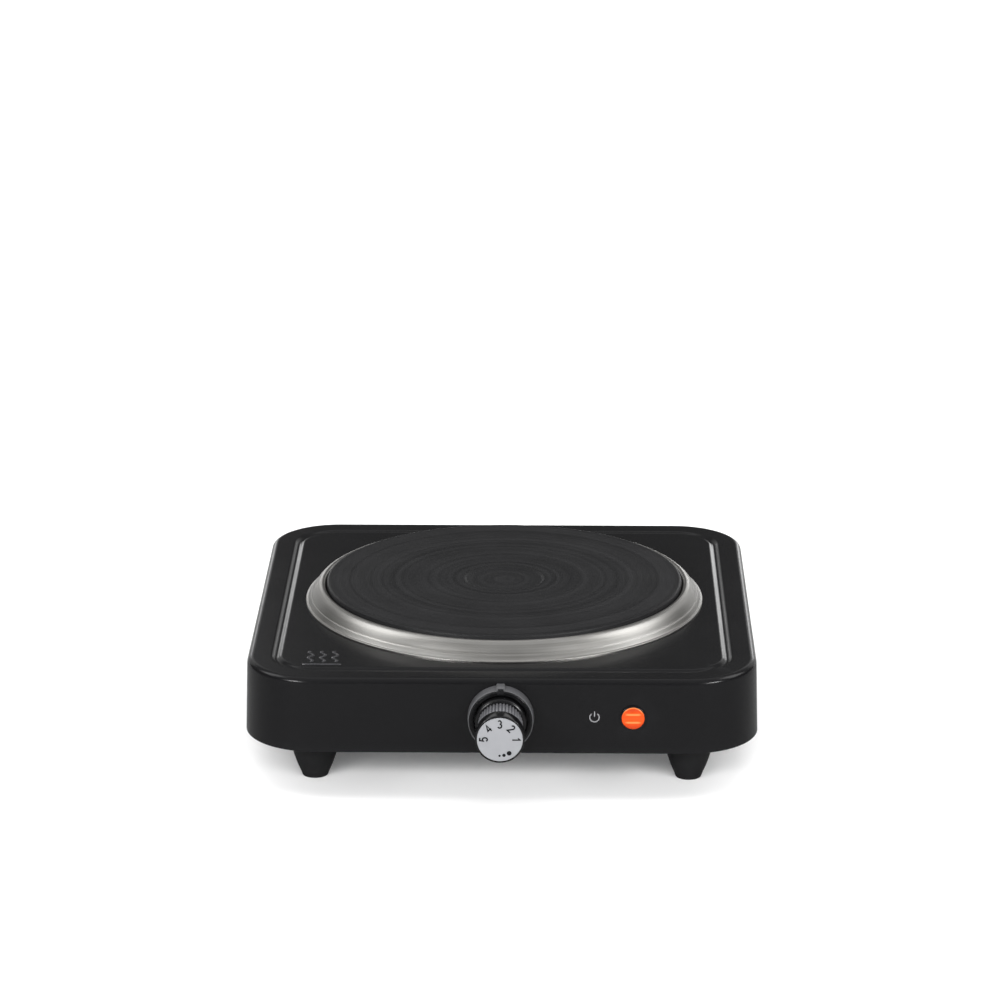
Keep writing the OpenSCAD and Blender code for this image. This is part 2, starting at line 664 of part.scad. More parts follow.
// ---- cord inlet and terminals ----
module cord_gland() {
  // snap-in bushing; distances run out through the back
  b = inlet_bore_r;
  y = wall_y;
  color([0.09, 0.09, 0.09]) on_plan() translate([inlet_x, 0, za]) difference() {
    rotate([-90, 0, 0]) rotate_extrude() polygon([[b, y - 6], [b + 4.6, y - 6], [b + 4.6, y - 3],
      [b + 3.5, y - 3], [b + 3.5, y - 0.8], [b + 5.3, y - 0.8], [b + 5.3, y + 2.6],
      [b + 4.6, y + 3.4], [b + 2.8, y + 4], [b + 2, inlet_y - 0.8], [b + 1.4, inlet_y],
      [b, inlet_y]]);
    difference() {
      translate([-inlet_x, 0, -za]) case_solid(0, zb - 5);
      rotate([-90, 0, 0]) cylinder(r = b + 3.5, h = y + 20);
      rotate([-90, 0, 0]) cylinder(r = b + 8, h = y - 3);
    }
  }
}
module gland_clip() {
  b = inlet_bore_r;
  color([0.7, 0.71, 0.72]) on_plan() intersection() {
    translate([inlet_x, 0, za]) difference() {
      front_rod(b + 6.4, -wall_y - 1, -wall_y + 3);
      front_rod(b + 3.5, -wall_y - 9, -wall_y + 9);
    }
    case_solid(sheet_t, zb - 5);
  }
}
clamp_y = half - 24;
cord_z = za;
module cord_clamp_base() {
  color([0.85, 0.85, 0.82]) on_plan() translate([inlet_x, clamp_y, z_floor]) difference() {
    translate([-13, -5, 0]) cube([26, 10, cord_z - z_floor - 0.6]);
    translate([0, -6, cord_z - z_floor]) rotate([-90, 0, 0]) cylinder(r = inlet_bore_r - 0.3, h = 12);
    for (sx = [-1, 1]) translate([sx * 9, 0, -1]) cylinder(r = 1.5, h = 40);
  }
}
module cord_clamp_saddle() {
  color([0.85, 0.85, 0.82]) on_plan() translate([inlet_x, clamp_y, cord_z + 0.6]) difference() {
    translate([-13, -4, 0]) cube([26, 8, 6]);
    translate([0, -6, -0.6]) rotate([-90, 0, 0]) cylinder(r = inlet_bore_r - 0.3, h = 12);
    for (sx = [-1, 1]) translate([sx * 9, 0, -1]) cylinder(r = 1.7, h = 10);
  }
}
module cord_clamp_screws() {
  color([0.72, 0.73, 0.75]) on_plan() for (sx = [-1, 1])
    translate([inlet_x + sx * 9, clamp_y, 0]) union() {
      translate([0, 0, z_cover + 0.2]) cylinder(r = 1.5, h = cord_z + 8 - z_cover - 0.2);
      translate([0, 0, cord_z + 6.6]) cylinder(r = 2.8, h = 1.8);
    }
}
tb_y = half - 24;
module terminal_block() {
  color([0.9, 0.89, 0.85]) on_plan() translate([0, tb_y, z_floor]) difference() {
    union() {
      translate([-28, -7, 0]) cube([56, 14, 3]);
      for (k = [-1:1]) translate([k * 13 - 5.5, -7, 0]) cube([11, 14, 15]);
    }
    for (k = [-1:1]) {
      translate([k * 13, -8, 8]) rotate([-90, 0, 0]) cylinder(r = 1.9, h = 16);
      translate([k * 13, 0, 8]) cylinder(r = 1.75, h = 9);
    }
    for (sx = [-1, 1]) translate([sx * 24, 0, -1]) cylinder(r = 1.6, h = 8);
  }
}
module terminal_screws() {
  color([0.8, 0.72, 0.4]) on_plan() translate([0, tb_y, z_floor]) union() {
    for (k = [-1:1]) translate([k * 13, 0, 9.9]) cylinder(r = 1.75, h = 4.4);
    for (sx = [-1, 1]) translate([sx * 24, 0, 0]) union() {
      translate([0, 0, -1.2]) cylinder(r = 1.6, h = 4.6);
      translate([0, 0, 3]) cylinder(r = 2.9, h = 1.6);
    }
  }
}
module earth_screw() {
  color([0.78, 0.7, 0.35]) on_plan() translate([-48, tb_y, 0]) union() {
    translate([0, 0, z_cover - 0.4]) cylinder(r = 2.2, h = 7);
    translate([0, 0, z_floor]) cylinder(r = 5, h = 0.9);
    translate([0, 0, z_floor + 1]) cylinder(r = 4.04, h = 3.2, $fn = 6);
    translate([-1.6, -12, z_floor]) cube([3.2, 9, 0.9]);
  }
}

// ---- internal leads ----
wire_r = 1.3;
tb_front = tb_y - 6;
tb_z = z_floor + 8;
lane_z = z_floor + 5;
pt_z = z_disc - 5;
tab_x = stack_x + 12.2;
module lead_live_in() {
  color([0.35, 0.2, 0.12]) on_plan() wire([13, tb_front, tb_z], [13, -20, lane_z + 4],
    [tab_x + 20, -70, lane_z - 6.6], [tab_x, -stack_y, blade_hi + 0.5], wire_r);
}
module lead_live_plate() {
  color([0.12, 0.12, 0.12]) on_plan() wire([tab_x, -stack_y, blade_lo - 0.9],
    [tab_x + 9, -stack_y, blade_lo - 9], [7, term_y - 36, pt_z - 8.3], [7, term_y - 4, pt_z],
    wire_r);
}
module lead_neutral() {
  color([0.2, 0.35, 0.6]) on_plan() wire([0, tb_front, tb_z], [-4, 10, lane_z - 2],
    [-9, term_y - 42, lane_z - 2], [-7, term_y - 5.8, pt_z], wire_r);
}
module lead_lamp() {
  color([0.6, 0.6, 0.58]) on_plan() union() {
    wire([lamp_x - 2.4, -wall_y + 26.9, za], [lamp_x - 4, -60, lane_z - 2.6],
      [9, 20, lane_z - 2.6], [2.5, tb_front - 2.4, tb_z], 0.9);
    wire([lamp_x + 2.4, -wall_y + 26.9, za], [lamp_x + 8, -70, za + 2],
      [lamp_x - 10, -stack_y + 14, za + 6], [tab_x + 0.6, -stack_y + 2.6, blade_lo - 3], 0.9);
  }
}
module lead_earth() {
  color([0.4, 0.6, 0.2]) on_plan() wire([-13, tb_front, tb_z], [-14, tb_front - 22, tb_z + 2],
    [-44, tb_front - 26, z_floor + 8], [-48, tb_y - 11.5, z_floor + 2.1], 1.2);
}

top_housing();
bottom_cover();
corner_bracket_fl();
corner_bracket_fr();
corner_bracket_rl();
corner_bracket_rr();
foot_fl();
foot_fr();
foot_rl();
foot_rr();
foot_washers();
foot_screws();
trim_ring();
hot_plate();
coil_inner();
coil_middle();
coil_outer();
coil_cement();
element_cover();
centre_stud();
crossbar();
heat_shield();
centre_washer();
centre_nut();
plate_terminal();
plate_terminal_screws();
control_frame();
control_nut();
stack_insulator();
stack_screw();
bimetal_strip();
contact_blade_upper();
contact_blade_lower();
lever_pin();
contact_lever();
control_shaft();
control_cam();
knob_collar();
knob_core();
knob_grip();
knob_rim();
knob_dial();
knob_clip();
lamp_lens();
lamp_body();
lamp_neon();
lamp_clip();
cord_gland();
gland_clip();
cord_clamp_base();
cord_clamp_saddle();
cord_clamp_screws();
terminal_block();
terminal_screws();
earth_screw();
lead_live_in();
lead_live_plate();
lead_neutral();
lead_lamp();
lead_earth();
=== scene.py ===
# %% [markdown]
# # A single hot plate burner
#
# The real burner is a shallow tin box on rubber feet. A round iron plate sits in a spun steel ring
# on its top, a knob on the front sets the heat, and an orange lamp shows that it is on.
# Every place below comes from the frame, which holds the engineering solids, so each visible
# piece lands where its solid is. Shapes are worked out in millimetres, and MM turns them into the
# metres that Blender works in.

# %% Set-up
import json
import math
import bmesh
import bpy
from mathutils import Matrix, Vector


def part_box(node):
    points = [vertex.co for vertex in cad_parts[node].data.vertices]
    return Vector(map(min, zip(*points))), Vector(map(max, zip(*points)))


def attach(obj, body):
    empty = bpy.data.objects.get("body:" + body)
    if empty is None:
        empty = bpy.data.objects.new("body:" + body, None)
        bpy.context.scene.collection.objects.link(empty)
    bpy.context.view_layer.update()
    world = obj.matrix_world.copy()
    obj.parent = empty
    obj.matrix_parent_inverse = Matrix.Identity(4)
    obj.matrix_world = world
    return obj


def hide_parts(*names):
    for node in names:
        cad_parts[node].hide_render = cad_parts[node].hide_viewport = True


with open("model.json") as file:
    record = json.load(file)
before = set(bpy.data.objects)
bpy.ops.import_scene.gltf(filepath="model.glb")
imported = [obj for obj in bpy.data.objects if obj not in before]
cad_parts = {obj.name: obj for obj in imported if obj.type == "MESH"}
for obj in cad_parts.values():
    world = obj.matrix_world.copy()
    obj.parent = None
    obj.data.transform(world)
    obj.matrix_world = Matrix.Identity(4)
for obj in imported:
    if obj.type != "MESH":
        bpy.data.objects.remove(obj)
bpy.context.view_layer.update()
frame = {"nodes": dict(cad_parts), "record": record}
MM = 0.001

# %% [markdown]
# ## Reading the frame
#
# A few numbers place everything else: the middle of the case, the height of its top, the knob's
# axis and the lamp's centre. They are read from the solids' boxes, so they stay right if the
# solids change.

# %% Ways to measure a solid
def box(node):
    """The lowest and the highest corner of a solid, in millimetres."""
    low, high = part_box(node)
    return Vector(low) / MM, Vector(high) / MM

def middle(node):
    """The centre of a solid's box."""
    low, high = box(node)
    return (low + high) / 2

def half_width(node):
    """Half the width of a solid from left to right, which is the radius of a round one."""
    low, high = box(node)
    return (high.x - low.x) / 2

case_mid = middle("top_housing")

def ahead(node, end):
    """How far in front of the case's middle a solid's front (1) or back (0) lies."""
    low, high = box(node)
    return case_mid.y - (low.y if end else high.y)

print("case middle", [round(c, 2) for c in case_mid])

# %% Places taken from the solids
half = half_width("top_housing")
wall_low = box("top_housing")[0].z
case_top, ring_high = (corner.z for corner in box("trim_ring"))
ring_r = half_width("trim_ring")
plate_r = half_width("hot_plate")
lens_r = half_width("lamp_lens")
knob_axis = Vector((0, case_mid.y, middle("knob_dial").z))
lamp_axis = Vector((middle("lamp_lens").x, case_mid.y, middle("lamp_lens").z))
gland_axis = Vector((middle("cord_gland").x, case_mid.y, middle("cord_gland").z))

# the case's corner radius, its sheet, and how far its walls lean in on their way up
CORNER_R, SHEET, DRAFT = 35.5, 1.0, 1.04
corner_c = half - CORNER_R

def half_at(z):
    """Half the width of the leaning case at a height."""
    return half - DRAFT * (z - wall_low) / (case_top - wall_low)

wall_y = half_at(knob_axis.z)
print("case", round(2 * half, 1), "mm square, top at", round(case_top, 1), "mm")
print("plate radius", round(plate_r, 1), "mm, ring radius", round(ring_r, 1), "mm")

# %% [markdown]
# ## Making meshes
#
# Most of the pieces are either turned on a lathe or pressed in a die. Turned pieces are an
# outline spun round an axis; pressed pieces are a stack of rounded squares joined ring to ring.
# Both come down to the same step, joining two rings of points, so that is the first helper.

# %% Joining rings of points
def stitch(bm, lower, upper):
    """Joins two rings of vertices with faces; a ring of one vertex closes to a point."""
    if len(lower) == 1 and len(upper) == 1:
        return
    count = max(len(lower), len(upper))
    for k in range(count):
        n = (k + 1) % count
        if len(lower) == 1:
            bm.faces.new((lower[0], upper[n], upper[k]))
        elif len(upper) == 1:
            bm.faces.new((lower[k], lower[n], upper[0]))
        else:
            bm.faces.new((lower[k], lower[n], upper[n], upper[k]))

def close_up(bm, rings):
    """Joins each ring to the next, and the last back to the first, into one closed skin."""
    for lower, upper in zip(rings, rings[1:] + rings[:1]):
        stitch(bm, lower, upper)

def vertex(bm, spot):
    """A mesh vertex at a spot given in millimetres."""
    return bm.verts.new(spot * MM)

print("helpers: stitch, close_up, vertex")

# %% Rounding an outline and spinning it
def softened(outline, steps=4):
    """An outline of (radius, along, rounding) with each corner rounded by a short curve."""
    out = []
    count = len(outline)
    for i, (r, h, soft) in enumerate(outline):
        here = Vector((r, h))
        if soft <= 0:
            out.append(here)
            continue
        before = Vector(outline[i - 1][:2]) - here
        after = Vector(outline[(i + 1) % count][:2]) - here
        # neighbouring curves may each take just under half of the side between them
        cut = min(soft, before.length * 0.49, after.length * 0.49)
        start = here + before.normalized() * cut
        stop = here + after.normalized() * cut
        for k in range(steps + 1):
            t = k / steps
            out.append(start * (1 - t) ** 2 + here * 2 * t * (1 - t) + stop * t ** 2)
    return [(p.x, p.y) for p in out]

def turned(bm, outline, centre, along, steps=96):
    """Spins a closed outline of (radius, distance) round the axis; along is 'up', 'front' or 'back'."""
    rings = []
    for r, h in outline:
        ring = []
        for k in range(1 if r < 1e-4 else steps):
            a = 2 * math.pi * k / steps
            x, y = r * math.cos(a), r * math.sin(a)
            spot = {"up": (x, y, h), "front": (x, -h, y), "back": (x, h, y)}[along]
            ring.append(vertex(bm, centre + Vector(spot)))
        rings.append(ring)
    close_up(bm, rings)

print("a rounded corner gets", len(softened([(0, 0, 0), (1, 0, 0.2), (1, 1, 0)])) - 2, "points")

# %% Turning a shape into a finished piece
def dress(piece, slot, finish=None):
    """Gives a piece the finish of a slot of the record, or another finish."""
    piece.data.materials.clear()
    piece.data.materials.append(finishes[finish or slot])

def stand(name, data):
    """Puts a mesh, curve, light or camera into the scene as an object."""
    thing = bpy.data.objects.new(name, data)
    bpy.context.scene.collection.objects.link(thing)
    return thing

def smooth(mesh, crease):
    """Shades a mesh smoothly, and keeps edges sharp where it bends more than the crease angle."""
    mesh.polygons.foreach_set("use_smooth", [True] * len(mesh.polygons))
    mesh.set_sharp_from_angle(angle=math.radians(crease))

def finished(name, bm, body, slot, stands_for=(), crease=32.0, finish=None):
    """Turns the shape into a piece with its finish, riding on a body."""
    bmesh.ops.remove_doubles(bm, verts=bm.verts, dist=1e-7)
    bmesh.ops.recalc_face_normals(bm, faces=bm.faces)
    mesh = bpy.data.meshes.new(name)
    bm.to_mesh(mesh)
    bm.free()
    smooth(mesh, crease)
    piece = stand(name, mesh)
    dress(piece, slot, finish)
    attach(piece, body)
    if stands_for:
        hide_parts(*stands_for)
    print(name, len(mesh.vertices), "points")
    return piece

# %% [markdown]
# ## Effects shared by the finishes
#
# Paint, moulded plastic, rubber and metal all show the same few things: a fine grain, a paler
# line where an edge has rubbed, a film of handling that changes the gloss from place to place,
# and, on turned metal, rings left by the tool. Each is a node group with named sockets, so that
# one recipe serves every finish and only its numbers change.

# %% Helpers for colours, nodes and groups
def srgb(r, g, b):
    """A screen colour, 0 to 255, as the linear values that a shader wants."""
    parts = (r / 255, g / 255, b / 255)
    linear = [c / 12.92 if c <= 0.04045 else ((c + 0.055) / 1.055) ** 2.4 for c in parts]
    return (*linear, 1.0)

def effect(name, inputs, outputs):
    """An empty group with numbers for inputs and outputs, and its two end nodes."""
    group = bpy.data.node_groups.new(name, "ShaderNodeTree")
    for label, value in inputs.items():
        socket = group.interface.new_socket(name=label, in_out="INPUT", socket_type="NodeSocketFloat")
        socket.default_value = value
    for label in outputs:
        group.interface.new_socket(name=label, in_out="OUTPUT", socket_type="NodeSocketFloat")
    return group, group.nodes.new("NodeGroupInput"), group.nodes.new("NodeGroupOutput")

def feed(tree, value, socket):
    """Wires another node's output to a socket, or sets the socket to a plain value."""
    if isinstance(value, bpy.types.NodeSocket):
        tree.links.new(value, socket)
    else:
        socket.default_value = value

def add(tree, kind, wires=None, **settings):
    """Adds a node, sets its properties, and feeds its inputs by name or number."""
    node = tree.nodes.new(kind)
    for key, value in settings.items():
        setattr(node, key, value)
    for key, value in (wires or {}).items():
        feed(tree, value, node.inputs[key])
    return node

print("middle grey, as light:", round(srgb(128, 128, 128)[0], 3))

# %% Helpers for sums, ranges, blends and noise
def sums(tree, operation, a, b=0.0, c=0.0):
    """One sum of up to three numbers, each a plain value or another node's output."""
    return add(tree, "ShaderNodeMath", {0: a, 1: b, 2: c}, operation=operation).outputs[0]

def ranged(tree, value, start, end, low=0.0, high=1.0, **settings):
    """Carries a value from one range over to another, and holds it at both ends."""
    wires = {"Value": value, "From Min": start, "From Max": end, "To Min": low, "To Max": high}
    return add(tree, "ShaderNodeMapRange", wires, **settings).outputs["Result"]

def blend(tree, share, a, b):
    """Mixes two colours; the colour sockets share their names with others, so they go by type."""
    node = add(tree, "ShaderNodeMix", data_type="RGBA")
    colours = [s for s in node.inputs if s.type == "RGBA"]
    for value, socket in ((share, node.inputs[0]), (a, colours[0]), (b, colours[1])):
        feed(tree, value, socket)
    return [s for s in node.outputs if s.type == "RGBA"][0]

def noise(tree, spot, scale, detail, roughness=0.5):
    """Cloudy noise at a place; a larger scale makes it finer."""
    wires = {"Vector": spot, "Scale": scale, "Detail": detail, "Roughness": roughness}
    return add(tree, "ShaderNodeTexNoise", wires).outputs["Fac"]

def place(tree):
    """Where on the object a point lies, in metres."""
    return add(tree, "ShaderNodeTexCoord").outputs["Object"]

def axes(tree):
    """The same place as three numbers, X, Y and Z."""
    return add(tree, "ShaderNodeSeparateXYZ", {0: place(tree)}).outputs

print("helpers: sums, ranged, blend, noise, place, axes")

# %% Fine grain: a small roughness, and large patches where the finish varies
fine_grain, grain_in, grain_out = effect("fine grain", {"Size mm": 0.4, "Patch mm": 12.0},
                                         ["Height", "Patches"])
grain_spot = place(fine_grain)
per_size = sums(fine_grain, "DIVIDE", 1000.0, grain_in.outputs["Size mm"])
per_patch = sums(fine_grain, "DIVIDE", 1000.0, grain_in.outputs["Patch mm"])
feed(fine_grain, noise(fine_grain, grain_spot, per_size, 3.0, 0.6), grain_out.inputs["Height"])
feed(fine_grain, noise(fine_grain, grain_spot, per_patch, 4.0, 0.55), grain_out.inputs["Patches"])
print("group:", fine_grain.name)

# %% Edge wear: a mask along convex edges, broken up by noise
edge_wear, wear_in, wear_out = effect("edge wear", {"Reach": 0.5, "Break up": 0.6}, ["Mask"])
bend = add(edge_wear, "ShaderNodeNewGeometry").outputs["Pointiness"]
reached = sums(edge_wear, "MULTIPLY", ranged(edge_wear, bend, 0.51, 0.60), wear_in.outputs["Reach"])
kept = sums(edge_wear, "SUBTRACT", 1.0, wear_in.outputs["Break up"])
breaks = noise(edge_wear, place(edge_wear), 180.0, 5.0)
broken = sums(edge_wear, "MULTIPLY_ADD", breaks, wear_in.outputs["Break up"], kept)
worn = sums(edge_wear, "MULTIPLY", reached, broken)
feed(edge_wear, sums(edge_wear, "MINIMUM", worn, 1.0), wear_out.inputs["Mask"])
print("group:", edge_wear.name)

# %% Turned rings: tool marks that run round a vertical axis
turned_rings, ring_in, ring_out = effect("turned rings", {"Middle Y": 0.0, "Pitch mm": 0.5, "Streak": 2.0},
                                         ["Height", "Tone"])

def on_rings(operation, a, b=0.0):
    """A sum inside the group for turned rings."""
    return sums(turned_rings, operation, a, b)

x, y, z = axes(turned_rings)
off_y = on_rings("SUBTRACT", y, ring_in.outputs["Middle Y"])
squared = on_rings("ADD", on_rings("MULTIPLY", x, x), on_rings("MULTIPLY", off_y, off_y))
out_from_axis = on_rings("SQRT", squared)
swing = on_rings("COSINE", on_rings("ARCTAN2", off_y, x))
scale = on_rings("DIVIDE", 1000.0, ring_in.outputs["Pitch mm"])
# radius and height are stretched finely, the angle hardly at all, so noise becomes long streaks
ring_spot = add(turned_rings, "ShaderNodeCombineXYZ", {
    "X": on_rings("MULTIPLY", out_from_axis, scale), "Y": on_rings("MULTIPLY", z, scale),
    "Z": on_rings("MULTIPLY", swing, ring_in.outputs["Streak"])}).outputs[0]
feed(turned_rings, noise(turned_rings, ring_spot, 1.0, 2.0, 0.7), ring_out.inputs["Height"])
feed(turned_rings, noise(turned_rings, ring_spot, 0.18, 2.0), ring_out.inputs["Tone"])
print("group:", turned_rings.name)

# %% [markdown]
# ## Finishes
#
# Each finish is a Principled shader whose colour, roughness and bump come from the groups above.
# One recipe covers the plain finishes, from enamel to rubber: a colour that varies a little in
# patches, a paler colour for rubbed edges, and a bump for the grain. A finish is then one line
# of numbers, which makes it easy to compare two of them.

# %% A blank finish, and what every finish needs
finishes = {}

def blank(name):
    """A new finish with a bare Principled shader, kept under its name."""
    material = bpy.data.materials.new(name)
    material.use_nodes = True
    tree = material.node_tree
    tree.nodes.clear()
    shader = tree.nodes.new("ShaderNodeBsdfPrincipled")
    output = tree.nodes.new("ShaderNodeOutputMaterial")
    feed(tree, shader.outputs["BSDF"], output.inputs["Surface"])
    finishes[name] = material
    return tree, shader

def use(tree, group, values):
    """Places a shared effect in a finish with its own values, and gives what it puts out."""
    return add(tree, "ShaderNodeGroup", values, node_tree=group).outputs

def shaded(colour, factor):
    """A colour made darker or lighter by a factor, but never brighter than white."""
    return (*(min(1.0, c * factor) for c in colour[:3]), 1.0)

def relief(tree, shader, height, strength, depth_mm):
    """Bumps the surface by a pattern of heights that is so many millimetres deep."""
    bump = add(tree, "ShaderNodeBump", {"Height": height, "Strength": strength, "Distance": depth_mm * MM})
    feed(tree, bump.outputs["Normal"], shader.inputs["Normal"])

print("a third darker:", [round(c, 3) for c in shaded(srgb(128, 128, 128), 2 / 3)[:3]])

# %% The plain recipe
GRAIN_SLOPE = 0.05

def plain_finish(name, colour, rough, metal=0.0, patch=0.25, grain=0.3, grain_mm=0.4, patch_mm=14.0,
                 edge=None, wear=0.5, gloss_spread=0.12, specular=0.5):
    """A finish with patches of tone and gloss and a fine grain; an edge colour adds rubbed edges."""
    tree, shader = blank(name)
    fine = use(tree, fine_grain, {"Size mm": grain_mm, "Patch mm": patch_mm})
    tone = blend(tree, fine["Patches"], shaded(colour, 1 - patch), shaded(colour, 1 + patch))
    if edge is not None:
        tone = blend(tree, use(tree, edge_wear, {"Reach": wear})["Mask"], tone, edge)
    feed(tree, tone, shader.inputs["Base Color"])
    gloss = ranged(tree, fine["Patches"], 0.3, 0.7, rough - gloss_spread / 2, rough + gloss_spread / 2)
    feed(tree, gloss, shader.inputs["Roughness"])
    relief(tree, shader, fine["Height"], grain, GRAIN_SLOPE * grain_mm)
    shader.inputs["Metallic"].default_value = metal
    shader.inputs["Specular IOR Level"].default_value = specular
    return tree, shader

print("recipe ready; grain is", GRAIN_SLOPE, "as deep as it is wide")

# %% Paint, plastics and rubber
plain_finish("case_enamel", srgb(14, 14, 15), 0.20, patch=0.10, grain=0.3, grain_mm=0.9, patch_mm=60.0,
             edge=srgb(36, 36, 38), wear=0.25, gloss_spread=0.05, specular=0.25)
plain_finish("knob_black", srgb(12, 12, 13), 0.24, grain=0.4, grain_mm=0.25,
             edge=srgb(34, 34, 36), wear=0.4, specular=0.4)
# the heat mark's paint is paler than the case's: a painted highlight on its raised lines
plain_finish("mark_painted_highlight", srgb(42, 42, 44), 0.26, grain=0.3, grain_mm=0.3)
plain_finish("collar_satin", srgb(68, 68, 70), 0.45, grain=0.4, grain_mm=0.25)
plain_finish("knob_gloss", srgb(10, 10, 11), 0.14, grain=0.1, grain_mm=0.25,
             edge=srgb(30, 30, 32), wear=0.3, gloss_spread=0.04)
plain_finish("knob_grey", srgb(72, 72, 76), 0.42, grain=0.4, grain_mm=0.25,
             edge=srgb(150, 150, 152), wear=0.4)
plain_finish("rubber_black", srgb(20, 20, 21), 0.6, grain=0.9, grain_mm=0.35,
             edge=srgb(40, 40, 41), wear=0.4, specular=0.3)
plain_finish("lever_board", srgb(92, 60, 38), 0.5, grain=0.5)
plain_finish("cam_resin", srgb(214, 208, 196), 0.45)
plain_finish("lamp_white", srgb(226, 223, 214), 0.4)
plain_finish("nylon_natural", srgb(216, 212, 202), 0.42, grain=0.5)
plain_finish("ceramic_white", srgb(224, 219, 207), 0.28, grain=0.5, grain_mm=0.6)
plain_finish("cement", srgb(196, 188, 170), 0.9, patch=0.3, grain=1.0, grain_mm=0.5)
for sleeve, tint in (("brown", (104, 62, 38)), ("black", (38, 38, 38)), ("blue", (48, 82, 140)),
                     ("grey", (140, 140, 137)), ("earth", (104, 150, 52))):
    plain_finish("sleeve_" + sleeve, srgb(*tint), 0.55, grain=0.8, grain_mm=0.3)
print("finishes:", len(finishes))

# %% Metals that aren't turned
plain_finish("cover_zinc", srgb(168, 170, 173), 0.34, metal=1.0, patch=0.14, grain=0.4, grain_mm=0.5,
             patch_mm=9.0, edge=srgb(215, 216, 218), gloss_spread=0.16)
plain_finish("plain_steel", srgb(176, 178, 181), 0.32, metal=1.0, patch=0.12, grain=0.4,
             edge=srgb(214, 215, 217))
plain_finish("aluminised", srgb(186, 187, 188), 0.42, metal=1.0, patch=0.16, patch_mm=5.0)
plain_finish("brass", srgb(206, 172, 98), 0.28, metal=1.0, patch=0.12)
plain_finish("bimetal", srgb(170, 158, 138), 0.36, metal=1.0, patch=0.15)
plain_finish("coil_alloy", srgb(120, 108, 96), 0.6, metal=0.8, patch=0.3)
print("finishes:", len(finishes))

# %% [markdown]
# Turned metal needs the ring group. The steel ring was brushed while it spun, so its streaks run
# round it and its gloss changes slowly from band to band. The iron plate was faced on a lathe and
# then coated, so it is nearly black, with fine rings that catch the light.

# %% Turned steel and turned iron
def turned_finish(name, dark, light, rough, metal, pitch, streak, bump_mm, specular=0.5, spread=0.16):
    """A finish in two tones, with streaks that run round the plate's axis."""
    tree, shader = blank(name)
    rings = use(tree, turned_rings, {"Middle Y": case_mid.y * MM, "Pitch mm": pitch, "Streak": streak})
    fine = use(tree, fine_grain, {"Size mm": 0.5, "Patch mm": 22.0})
    # mostly the rings set the tone, and the patches a little
    tone = sums(tree, "MULTIPLY_ADD", rings["Tone"], 0.7, sums(tree, "MULTIPLY", fine["Patches"], 0.3))
    feed(tree, blend(tree, ranged(tree, tone, 0.32, 0.68), dark, light), shader.inputs["Base Color"])
    gloss = ranged(tree, tone, 0.3, 0.7, rough - spread / 2, rough + spread / 2)
    feed(tree, gloss, shader.inputs["Roughness"])
    relief(tree, shader, rings["Height"], 0.5, bump_mm)
    shader.inputs["Metallic"].default_value = metal
    shader.inputs["Specular IOR Level"].default_value = specular

turned_finish("ring_steel", srgb(162, 160, 156), srgb(184, 183, 180), rough=0.36, metal=1.0,
              pitch=0.22, streak=3.0, bump_mm=0.004, spread=0.10)
turned_finish("plate_iron", srgb(14, 14, 15), srgb(28, 28, 29), rough=0.48, metal=0.0,
              pitch=0.45, streak=1.2, bump_mm=0.020, specular=0.25)
print("finishes:", len(finishes))

# %% [markdown]
# The dial face is a thin silver disc with a fine grain. The lens is clear orange plastic over a
# glowing lamp. Light bent by its ribs can be traced, but a glow painted by place is steadier and
# quicker: pale along the crests of the ribs, orange in the middle, and a deeper red above and
# below. It is given out by the lens itself, so it shows from every side.

# %% Silver, ink and the lamp inside
plain_finish("dial_silver", srgb(132, 133, 136), 0.42, metal=0.25, patch=0.05, grain=0.5,
             grain_mm=0.2, patch_mm=3.0)
plain_finish("print_dark", srgb(12, 12, 14), 0.5, grain_mm=0.2, specular=0.15)
plain_finish("print_pale", srgb(112, 112, 114), 0.5, grain_mm=0.2)
neon_shader = plain_finish("neon_glass", srgb(255, 190, 140), 0.1)[1]
neon_shader.inputs["Emission Color"].default_value = srgb(255, 150, 70)
neon_shader.inputs["Emission Strength"].default_value = 2.0
print("finishes:", len(finishes))

# %% Glowing lens
RIB_PITCH, RIB_FIRST = 4.0, 2.05
lens_tree, lens_shader = plain_finish("lens_orange", srgb(150, 48, 8), 0.12, patch=0.35, grain=0.1,
                                      patch_mm=4.0, gloss_spread=0.04)

def on_lens(operation, a, b=0.0, c=0.0):
    """A sum inside the lens's finish."""
    return sums(lens_tree, operation, a, b, c)

def fade(value, start, end):
    """One where the value is at the start, falling smoothly to zero where it reaches the end."""
    return ranged(lens_tree, value, start, end, 1.0, 0.0, interpolation_type="SMOOTHSTEP")

x, y, z = axes(lens_tree)
side = on_lens("ABSOLUTE", on_lens("SUBTRACT", x, lamp_axis.x * MM))
height = on_lens("SUBTRACT", z, lamp_axis.z * MM)
turns = on_lens("MULTIPLY", on_lens("SUBTRACT", height, RIB_FIRST * MM), 2 * math.pi / (RIB_PITCH * MM))
crests = on_lens("MULTIPLY", fade(on_lens("COSINE", turns), 1.0, 0.5), fade(side, 2.2 * MM, 4.4 * MM))
core_share = fade(on_lens("ABSOLUTE", height), 1.6 * MM, 4.6 * MM)
glow = blend(lens_tree, core_share, srgb(134, 26, 8), srgb(212, 76, 16))
glow = blend(lens_tree, crests, glow, srgb(255, 190, 112))
# the upper edge of the lens gathers light into a thin pale arc
away = on_lens("SQRT", on_lens("MULTIPLY_ADD", side, side, on_lens("MULTIPLY", height, height)))
edge_arc = on_lens("MULTIPLY", fade(away, 5.4 * MM, 4.7 * MM), fade(height, 4.6 * MM, 1.0 * MM))
glow = blend(lens_tree, edge_arc, glow, srgb(255, 184, 110))
feed(lens_tree, glow, lens_shader.inputs["Emission Color"])
lens_shader.inputs["Emission Strength"].default_value = 0.56
print("finishes:", len(finishes))

